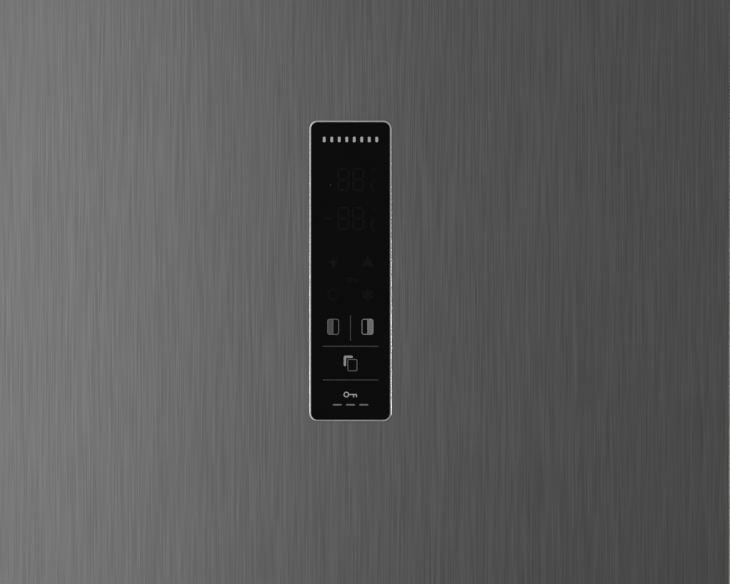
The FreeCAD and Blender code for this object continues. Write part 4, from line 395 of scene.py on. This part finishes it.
def finishes():
    """Material for each slot of the record."""
    bezel_dark, bezel_light = BEZEL_SHADES
    return {
        "door_steel": brushed_steel(),
        "side_paint": painted("side_paint", shade=0.055, tint=(1.0, 1.0, 1.02), roughness=0.42),
        "back_sheet": painted(
            "back_sheet", shade=0.46, tint=(0.99, 1.0, 1.01), roughness=0.55, peel=0.000006,
        ),
        "frame_paint": painted("frame_paint", shade=0.075, tint=(1.0, 1.0, 1.01), roughness=0.4),
        "zinc_steel": zinc_plated(),
        "foam": rigid_foam(),
        "white_liner": moulded(
            "white_liner", dark=(0.74, 0.75, 0.75), light=(0.8, 0.81, 0.81), roughness=0.34,
            grain_per_metre=900.0, relief=0.000006,
        ),
        "grey_trim": moulded(
            "grey_trim", dark=(0.5, 0.52, 0.54), light=(0.56, 0.58, 0.6), roughness=0.36,
            grain_per_metre=1200.0, relief=0.000008,
        ),
        "clear_glass": see_through(
            "clear_glass", dark=(0.86, 0.95, 0.92), light=(0.93, 0.98, 0.96),
            smooth=0.02, cloudy=0.06, frost=0.000002, transmission=1.0,
        ),
        "clear_plastic": see_through(
            "clear_plastic", dark=(0.82, 0.88, 0.91), light=(0.9, 0.94, 0.96),
            smooth=0.1, cloudy=0.2, frost=0.000008, transmission=0.86,
        ),
        "gasket_grey": rubber("gasket_grey", shade=0.16),
        "dark_plastic": moulded("dark_plastic", dark=grey(0.017), light=grey(0.027), roughness=0.5),
        "bezel_chrome": polished_metal("bezel_chrome", grey(bezel_dark), grey(bezel_light), roughness=0.16),
        "black_glass": panel_glass(),
        "fin_aluminium": polished_metal(
            "fin_aluminium", dark=grey(0.55), light=grey(0.68, (0.99, 1.0, 1.01)), roughness=0.34,
        ),
        "black_paint": painted("black_paint", shade=0.012, tint=(1.0, 1.0, 1.0), roughness=0.32),
        "copper_tube": copper(),
        "black_rubber": rubber("black_rubber", shade=0.018),
        "grey_plastic": moulded("grey_plastic", dark=grey(0.15), light=grey(0.2), roughness=0.48),
        "circuit_board": circuit_board(),
    }


def dress_frame(materials):
    """Gives every CAD node the finish of its slot."""
    for entry in frame["record"]["subparts"]:
        node = frame["nodes"][entry["node"]]
        for slot in node.material_slots:
            slot.material = materials[entry["material_slot"]]


# Flat shapes

class FlatPrint:
    """Thin flat shapes gathered in one mesh; u and v are millimetres to the right and up on a plane."""

    def __init__(self):
        self.mesh = bmesh.new()

    def onto(self, origin, right, up):
        """Sets the plane of the shapes that follow."""
        self.origin = Vector(origin)
        self.right = Vector(right)
        self.up = Vector(up)
        self.out = self.right.cross(self.up)
        return self

    def layer(self, points, height):
        base = self.origin + self.out * height * MM
        return [self.mesh.verts.new(base + self.right * u * MM + self.up * v * MM) for u, v in points]

    def layers(self, points):
        """Front and back outline of a shape, half of it sunk in the surface."""
        return self.layer(points, PRINT_THICKNESS / 2), self.layer(points, -PRINT_THICKNESS / 2)

    def walls(self, front, back):
        for i in range(len(front)):
            k = (i + 1) % len(front)
            self.mesh.faces.new((front[i], front[k], back[k], back[i]))

    def fill(self, points):
        """Solid shape inside one outline."""
        front, back = self.layers(points)
        self.mesh.faces.new(front)
        self.mesh.faces.new(back[::-1])
        self.walls(front, back)

    def ring(self, outer, inner):
        """Shape between two outlines of as many points."""
        fronts, backs = zip(self.layers(outer), self.layers(inner))
        for edge, turn in ((fronts, 1), (backs, -1)):
            for i in range(len(outer)):
                k = (i + 1) % len(outer)
                face = (edge[0][i], edge[0][k], edge[1][k], edge[1][i])
                self.mesh.faces.new(face[::turn])
        self.walls(fronts[0], backs[0])
        self.walls(fronts[1][::-1], backs[1][::-1])

    def bar(self, start, end, width):
        """Straight stroke with round ends."""
        direction = (Vector(end) - Vector(start)).normalized()
        turn = math.atan2(direction.y, direction.x)
        points = arc(end, width / 2, turn - math.pi / 2, turn + math.pi / 2)
        points += arc(start, width / 2, turn + math.pi / 2, turn + 1.5 * math.pi)
        self.fill(points)

    def finish(self, name, ink, body, slot):
        """Turns the gathered shapes into one piece of the scene."""
        bmesh.ops.recalc_face_normals(self.mesh, faces=self.mesh.faces)
        data = bpy.data.meshes.new(name)
        self.mesh.to_mesh(data)
        self.mesh.free()
        data.materials.append(ink)
        piece = bpy.data.objects.new(name, data)
        bpy.context.collection.objects.link(piece)
        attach(piece, body)


def polar(centre, turn, reach):
    """Point at a direction in radians and a distance from the centre."""
    return (centre[0] + reach * math.cos(turn), centre[1] + reach * math.sin(turn))


def arc(centre, radius, start, end, steps=8):
    """Points from one direction to another, both in radians."""
    return [polar(centre, start + (end - start) * i / steps, radius) for i in range(steps + 1)]


def circle(centre, radius, sides=32):
    return arc(centre, radius, 0.0, 2 * math.pi * (sides - 1) / sides, sides - 1)


def round_box(centre, width, height, radius, inset=0.0):
    """Rectangle with round corners, anticlockwise, drawn in by an inset on all sides."""
    width, height, radius = width - 2 * inset, height - 2 * inset, radius - inset
    points = []
    for i, (su, sv) in enumerate(((1, 1), (-1, 1), (-1, -1), (1, -1))):
        corner = (centre[0] + su * (width / 2 - radius), centre[1] + sv * (height / 2 - radius))
        points += arc(corner, radius, i * math.pi / 2, (i + 1) * math.pi / 2, 5)
    return points


def lobed(pole, lobes, sides=120):
    """Outline of ellipses that all start at the pole, each given by its direction, reach and width."""
    points = []
    for i in range(sides):
        turn = 2 * math.pi * i / sides
        reach = LOBE_CORE
        for degrees, length, width in lobes:
            along = math.cos(turn - math.radians(degrees))
            across = math.sin(turn - math.radians(degrees))
            if along > 0:
                reach = max(reach, along / length / ((along / length) ** 2 + (across / width) ** 2))
        points.append(polar(pole, turn, reach))
    return points


# Print on the touch panel

def draw_segment(sheet, start, end, stroke):
    """One segment of a digit: a bar with pointed ends."""
    a = Vector(start)
    b = Vector(end)
    along = (b - a).normalized() * stroke / 2
    across = Vector((-along.y, along.x))
    sheet.fill([a, a + along + across, b - along + across, b, b - along - across, a + along - across])


def draw_digit(sheet, u, v):
    """The seven unlit segments of a digit."""
    left = u - DIGIT_WIDTH / 2 + DIGIT_STROKE / 2
    right = u + DIGIT_WIDTH / 2 - DIGIT_STROKE / 2
    low = v - DIGIT_HEIGHT / 2 + DIGIT_STROKE / 2
    high = v + DIGIT_HEIGHT / 2 - DIGIT_STROKE / 2
    for level in (low, v, high):
        draw_segment(sheet, (left + DIGIT_GAP, level), (right - DIGIT_GAP, level), DIGIT_STROKE)
    for side in (left, right):
        for bottom, top in ((low, v), (v, high)):
            draw_segment(sheet, (side, bottom + DIGIT_GAP), (side, top - DIGIT_GAP), DIGIT_STROKE)


def draw_unit(sheet, v):
    """Degree ring and the segments of a C beside a reading."""
    ring_centre = (UNIT_CENTRE, v + DIGIT_HEIGHT * DEGREE_RISE)
    sheet.ring(*[circle(ring_centre, radius) for radius in DEGREE_RING])
    low = v - DIGIT_HEIGHT / 2 + UNIT_STROKE / 2
    high = v - UNIT_STROKE
    left = UNIT_CENTRE - UNIT_REACH[0]
    right = UNIT_CENTRE + UNIT_REACH[1]
    for level in (low, high):
        draw_segment(sheet, (left + DIGIT_GAP / 2, level), (right, level), UNIT_STROKE)
    draw_segment(sheet, (left, low + DIGIT_GAP), (left, high - DIGIT_GAP), UNIT_STROKE)


def draw_hexagon(sheet):
    turns = [math.pi / 6 + i * math.pi / 3 for i in range(6)]
    sheet.ring(*[[polar(HEXAGON_CENTRE, turn, radius) for turn in turns] for radius in HEXAGON_RADII])


def draw_snowflake(sheet):
    """Six arms, each with a fork, in one outline."""
    half = FLAKE_STROKE / 2
    place, length, fork_half = FLAKE_FORK
    lean_along = math.cos(math.radians(FLAKE_FORK_TURN))
    lean_across = math.sin(math.radians(FLAKE_FORK_TURN))
    side = [(FLAKE_RADIUS, half)]
    for edge in (1, -1):
        root = (place + edge * fork_half * lean_across, -edge * fork_half * lean_along)
        climb = (half - root[1]) / lean_across
        junction = (root[0] + climb * lean_along, half)
        tip = (root[0] + length * lean_along, root[1] + length * lean_across)
        side += [junction, tip] if edge > 0 else [tip, junction]
    arm = [(along, -across) for along, across in side[::-1]] + side
    points = []
    for i in range(6):
        turn = math.pi / 2 + i * math.pi / 3
        points.append(polar(FLAKE_CENTRE, turn - math.pi / 6, FLAKE_STROKE))
        for along, across in arm:
            points.append(polar(FLAKE_CENTRE, turn + math.atan2(across, along), math.hypot(along, across)))
    sheet.fill(points)


def draw_key(sheet, bow, radius, length, stroke):
    """Lock key: a round bow, and a shaft with two teeth that starts on the bow's rim."""
    sheet.ring(circle(bow, radius), circle(bow, radius - stroke))
    u, v = bow
    half = stroke / 2
    low = v - radius
    points = arc(bow, radius, math.asin(half / radius), -math.asin(half / radius), 4)
    for share in KEY_TEETH:
        tooth = u + length * share
        points += [(tooth - half, v - half), (tooth - half, low), (tooth + half, low)]
        points.append((tooth + half, v - half if share < 1 else v + half))
    sheet.fill(points)


def draw_door_symbol(outline, fill, side):
    """Outline of two doors, the half on the given side filled."""
    u = DOOR_SYMBOL_CENTRES[side]
    v = DOOR_SYMBOL_HEIGHT
    width, height = DOOR_SYMBOL
    inner_round = DOOR_SYMBOL_ROUND - OUTLINE
    inner_height = height - 2 * OUTLINE
    outer, inner = [round_box((u, v), width, height, DOOR_SYMBOL_ROUND, inset) for inset in (0, OUTLINE)]
    outline.ring(outer, inner)
    outline.fill(round_box((u + side * OUTLINE / 2, v), OUTLINE, inner_height, OUTLINE / 4))
    fill_width = width / 2 - 2 * OUTLINE
    fill.fill(round_box((u + side * (OUTLINE + fill_width / 2), v), fill_width, inner_height, inner_round))


def draw_mode_symbol(fill, outline):
    """Two overlapping cards: the corner of the rear one filled, the front one outlined."""
    width, height = MODE_FRONT
    outer, inner = [round_box(MODE_CENTRE, width, height, MODE_ROUND, inset) for inset in (0, OUTLINE)]
    outline.ring(outer, inner)
    left = MODE_CENTRE[0] + MODE_REAR[0]
    top = MODE_CENTRE[1] + MODE_REAR[1]
    right = left + MODE_REAR_REACH[0]
    low = top - MODE_REAR_REACH[1]
    half = MODE_REAR_BAND / 2
    band = arc((right - half, top - half), half, -math.pi / 2, math.pi / 2)
    band += arc((left + MODE_ROUND, top - MODE_ROUND), MODE_ROUND, math.pi / 2, math.pi)
    band += arc((left + half, low + half), half, math.pi, 2 * math.pi)
    fill.fill(band + [(left + MODE_REAR_BAND, top - MODE_REAR_BAND)])


def draw_row(sheet, v, half, count, bar):
    """Row of equal plain bars that fills the given half width to both sides."""
    width, height = bar
    step = (2 * half - width) / (count - 1)
    for i in range(count):
        u = -half + width / 2 + i * step
        sheet.fill(round_box((u, v), width, height, min(width, height) * BAR_ROUND))


def panel_sheet(plane_node):
    """Empty sheet of flat shapes on the front of a node, for print or painted shadow, measured from the
    middle of the panel.
    """
    low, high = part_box("control_panel_glass")
    middle = (low + high) / 2
    return FlatPrint().onto((middle.x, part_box(plane_node)[0].y, middle.z), (1, 0, 0), (0, 0, 1))


def print_panel():
    """All marks on the glass, one mesh for each brightness of ink."""
    sheets = {name: panel_sheet("control_panel_glass") for name in INKS}
    faint, dim, soft, middle, light, bright = sheets.values()
    for reading in (UPPER_READING, LOWER_READING):
        for u in DIGIT_CENTRES:
            draw_digit(faint, u, reading)
        draw_unit(faint, reading)
    faint.bar(*[(u, LOWER_READING) for u in MINUS], DIGIT_STROKE)
    faint.fill(lobed(PLANT_NECK, PLANT_LOBES))
    faint.fill(lobed(LEAF_FOOT, LEAF_LOBES))
    draw_hexagon(faint)
    draw_snowflake(faint)
    draw_key(faint, FAINT_KEY_BOW, FAINT_KEY_RADIUS, FAINT_KEY_LENGTH, FAINT_KEY_STROKE)
    dim.fill(circle(READING_DOT, READING_DOT_RADIUS))
    draw_door_symbol(middle, soft, -1)
    draw_door_symbol(light, middle, 1)
    dim.bar(*[(0.0, v) for v in DIVIDER], LINE_WIDTH)
    for v in LINE_HEIGHTS:
        dim.bar((-LINE_HALF, v), (LINE_HALF, v), LINE_WIDTH)
    draw_mode_symbol(light, middle)
    draw_key(bright, KEY_BOW, KEY_RADIUS, KEY_LENGTH, KEY_STROKE)
    draw_row(bright, GAUGE_HEIGHT, GAUGE_HALF, GAUGE_BARS, GAUGE_BAR)
    draw_row(middle, HOLD_HEIGHT, HOLD_HALF, HOLD_BARS, HOLD_BAR)
    for name, sheet in sheets.items():
        sheet.finish(name, ink_for_print_and_shadows(name, INKS[name]), "freezer_door", "black_glass")


def front_size(node):
    """Width and height of a node in millimetres."""
    low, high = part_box(node)
    return (high.x - low.x) / MM, (high.z - low.z) / MM


def draw_gap_shadows():
    """Dark rings that paint the shadow in the gaps between the steel, the metal frame and the glass."""
    gap_shadow = ink_for_print_and_shadows("panel_gap_shadow", GAP_SHADOW_SHADE)
    bezel = front_size("control_panel_bezel")
    glass = front_size("control_panel_glass")
    glass_round = PANEL_ROUND - (bezel[0] - glass[0]) / 2
    outside = panel_sheet("freezer_door_skin")
    outside.ring(*[round_box((0, 0), *bezel, PANEL_ROUND, inset) for inset in (-SEAM_OUTSIDE, 0)])
    outside.finish("panel_gap_shadow_outside", gap_shadow, "freezer_door", "black_glass")
    inside = panel_sheet("control_panel_glass")
    inside.ring(*[round_box((0, 0), *glass, glass_round, inset) for inset in (0, SEAM_INSIDE)])
    inside.finish("panel_gap_shadow_inside", gap_shadow, "freezer_door", "black_glass")


# Painted shadows in the screws' cross recesses

def screw_groups():
    """Points of the screws' node, one list for each screw."""
    groups = []
    for vertex in frame["nodes"]["screws"].data.vertices:
        near = [group for group in groups if (group[0] - vertex.co).length < SCREW_SPAN * MM]
        if near:
            near[0].append(vertex.co)
        else:
            groups.append([vertex.co])
    return groups


def head_of(points):
    """Middle of a screw's head and the way it points: most points of a screw lie on its head."""
    low = Vector([min(point[i] for point in points) for i in range(3)])
    high = Vector([max(point[i] for point in points) for i in range(3)])
    lean = sum(points, Vector()) / len(points) - (low + high) / 2
    axis = max(range(3), key=lambda i: abs(lean[i]))
    top = (low + high) / 2
    top[axis] = high[axis] if lean[axis] > 0 else low[axis]
    outward = Vector()
    outward[axis] = math.copysign(1, lean[axis])
    return top, outward


def cross_outline():
    """Four arms of a cross recess, round its middle."""
    arm = ((RECESS_REACH, -RECESS_HALF), (RECESS_REACH, RECESS_HALF), (RECESS_HALF, RECESS_HALF))
    points = []
    for i in range(4):
        for along, across in arm:
            turn = i * math.pi / 2 + math.atan2(across, along)
            points.append(polar((0, 0), turn, math.hypot(along, across)))
    return points


def draw_screw_shadows():
    """Dark cross on the head of every screw, a painted shadow where its cross recess is."""
    cross = cross_outline()
    sheet = FlatPrint()
    for points in screw_groups():
        top, outward = head_of(points)
        right = Vector((0, 0, 1)).cross(outward) if outward.z == 0 else Vector((1, 0, 0))
        sheet.onto(top, right, outward.cross(right)).fill(cross)
    sheet.finish("screw_shadow_patches", ink_for_print_and_shadows("screw_shadow_patch", SCREW_SHADOW_SHADE), "cabinet", "zinc_steel")


# Stage, light and camera

def make_floor():
    """Pale floor under the feet, with faint clouds."""
    data = bpy.data.meshes.new("floor")
    half = FLOOR_SIZE / 2
    corners = [(-half, -half, 0), (half, -half, 0), (half, half, 0), (-half, half, 0)]
    data.from_pydata(corners, [], [(0, 1, 2, 3)])
    look = Look("floor_paint", roughness=0.8, specular=0.2)
    look.colours(look.noise(even(1.2), detail=3.0), *swing(FLOOR_SHADE, FLOOR_SWING))
    data.materials.append(look.material)
    floor = bpy.data.objects.new("floor", data)
    floor.location.z = -FLOOR_DROP
    bpy.context.collection.objects.link(floor)


def make_world():
    """Even pale surroundings: seen and mirrored at backdrop level, lighting the rest softly."""
    world = bpy.data.worlds.new("studio")
    bpy.context.scene.world = world
    world.use_nodes = True
    tree = world.node_tree
    background = tree.nodes["Background"]
    path = tree.nodes.new("ShaderNodeLightPath")
    seen = path.outputs["Is Camera Ray"]
    for ray in ("Is Glossy Ray", "Is Transmission Ray"):
        either = tree.nodes.new("ShaderNodeMath")
        either.operation = "MAXIMUM"
        tree.links.new(seen, either.inputs[0])
        tree.links.new(path.outputs[ray], either.inputs[1])
        seen = either.outputs[0]
    level = tree.nodes.new("ShaderNodeMapRange")
    level.inputs["To Min"].default_value = AMBIENT
    level.inputs["To Max"].default_value = BACKDROP
    tree.links.new(seen, level.inputs["Value"])
    tree.links.new(level.outputs["Result"], background.inputs["Strength"])
    background.inputs["Color"].default_value = (1.0, 1.0, 1.0, 1.0)


def area_light(name, place, target, size, power, spread):
    data = bpy.data.lights.new(name, "AREA")
    data.shape = "RECTANGLE"
    data.size, data.size_y = size
    data.energy = power
    data.spread = math.radians(spread)
    lamp = bpy.data.objects.new(name, data)
    lamp.location = place
    lamp.rotation_euler = (Vector(target) - Vector(place)).to_track_quat("-Z", "Y").to_euler()
    bpy.context.collection.objects.link(lamp)


def soft_sun(name, source):
    data = bpy.data.lights.new(name, "SUN")
    data.energy = SUN_STRENGTH
    data.angle = math.radians(SUN_ANGLE)
    lamp = bpy.data.objects.new(name, data)
    lamp.rotation_euler = Vector(source).to_track_quat("Z", "Y").to_euler()
    bpy.context.collection.objects.link(lamp)


def make_lights():
    """Tall soft lamp left of the camera, low side cards for the panel's frame, and broad light from above."""
    area_light("key_left", LAMP_PLACE, (*AIM, LAMP_PLACE[2]), LAMP_SIZE, LAMP_POWER, LAMP_SPREAD)
    for name, side, power in CARDS:
        place = (AIM[0] + side * CARD_ASIDE, CARD_FRONT, CARD_HEIGHT)
        area_light(name, place, (*AIM, CARD_AIM_HEIGHT), CARD_SIZE, power, CARD_SPREAD)
    for name, source in SUNS:
        soft_sun(name, source)


def make_camera():
    data = bpy.data.cameras.new("camera")
    data.lens = LENS
    data.sensor_width = SENSOR
    camera = bpy.data.objects.new("camera", data)
    bezel_low, bezel_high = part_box("control_panel_bezel")
    panel = (bezel_low + bezel_high) / 2
    distance = PICTURE_WIDTH * LENS / SENSOR
    camera.location = (
        panel.x + PANEL_LEFT_OF_MIDDLE, bezel_low.y - distance, panel.z - PANEL_ABOVE_MIDDLE,
    )
    camera.rotation_euler = (math.pi / 2, 0.0, 0.0)
    bpy.context.collection.objects.link(camera)
    bpy.context.scene.camera = camera


bpy.context.scene.view_settings.view_transform = "Standard"
dress_frame(finishes())
print_panel()
draw_gap_shadows()
draw_screw_shadows()
make_floor()
make_world()
make_lights()
make_camera()
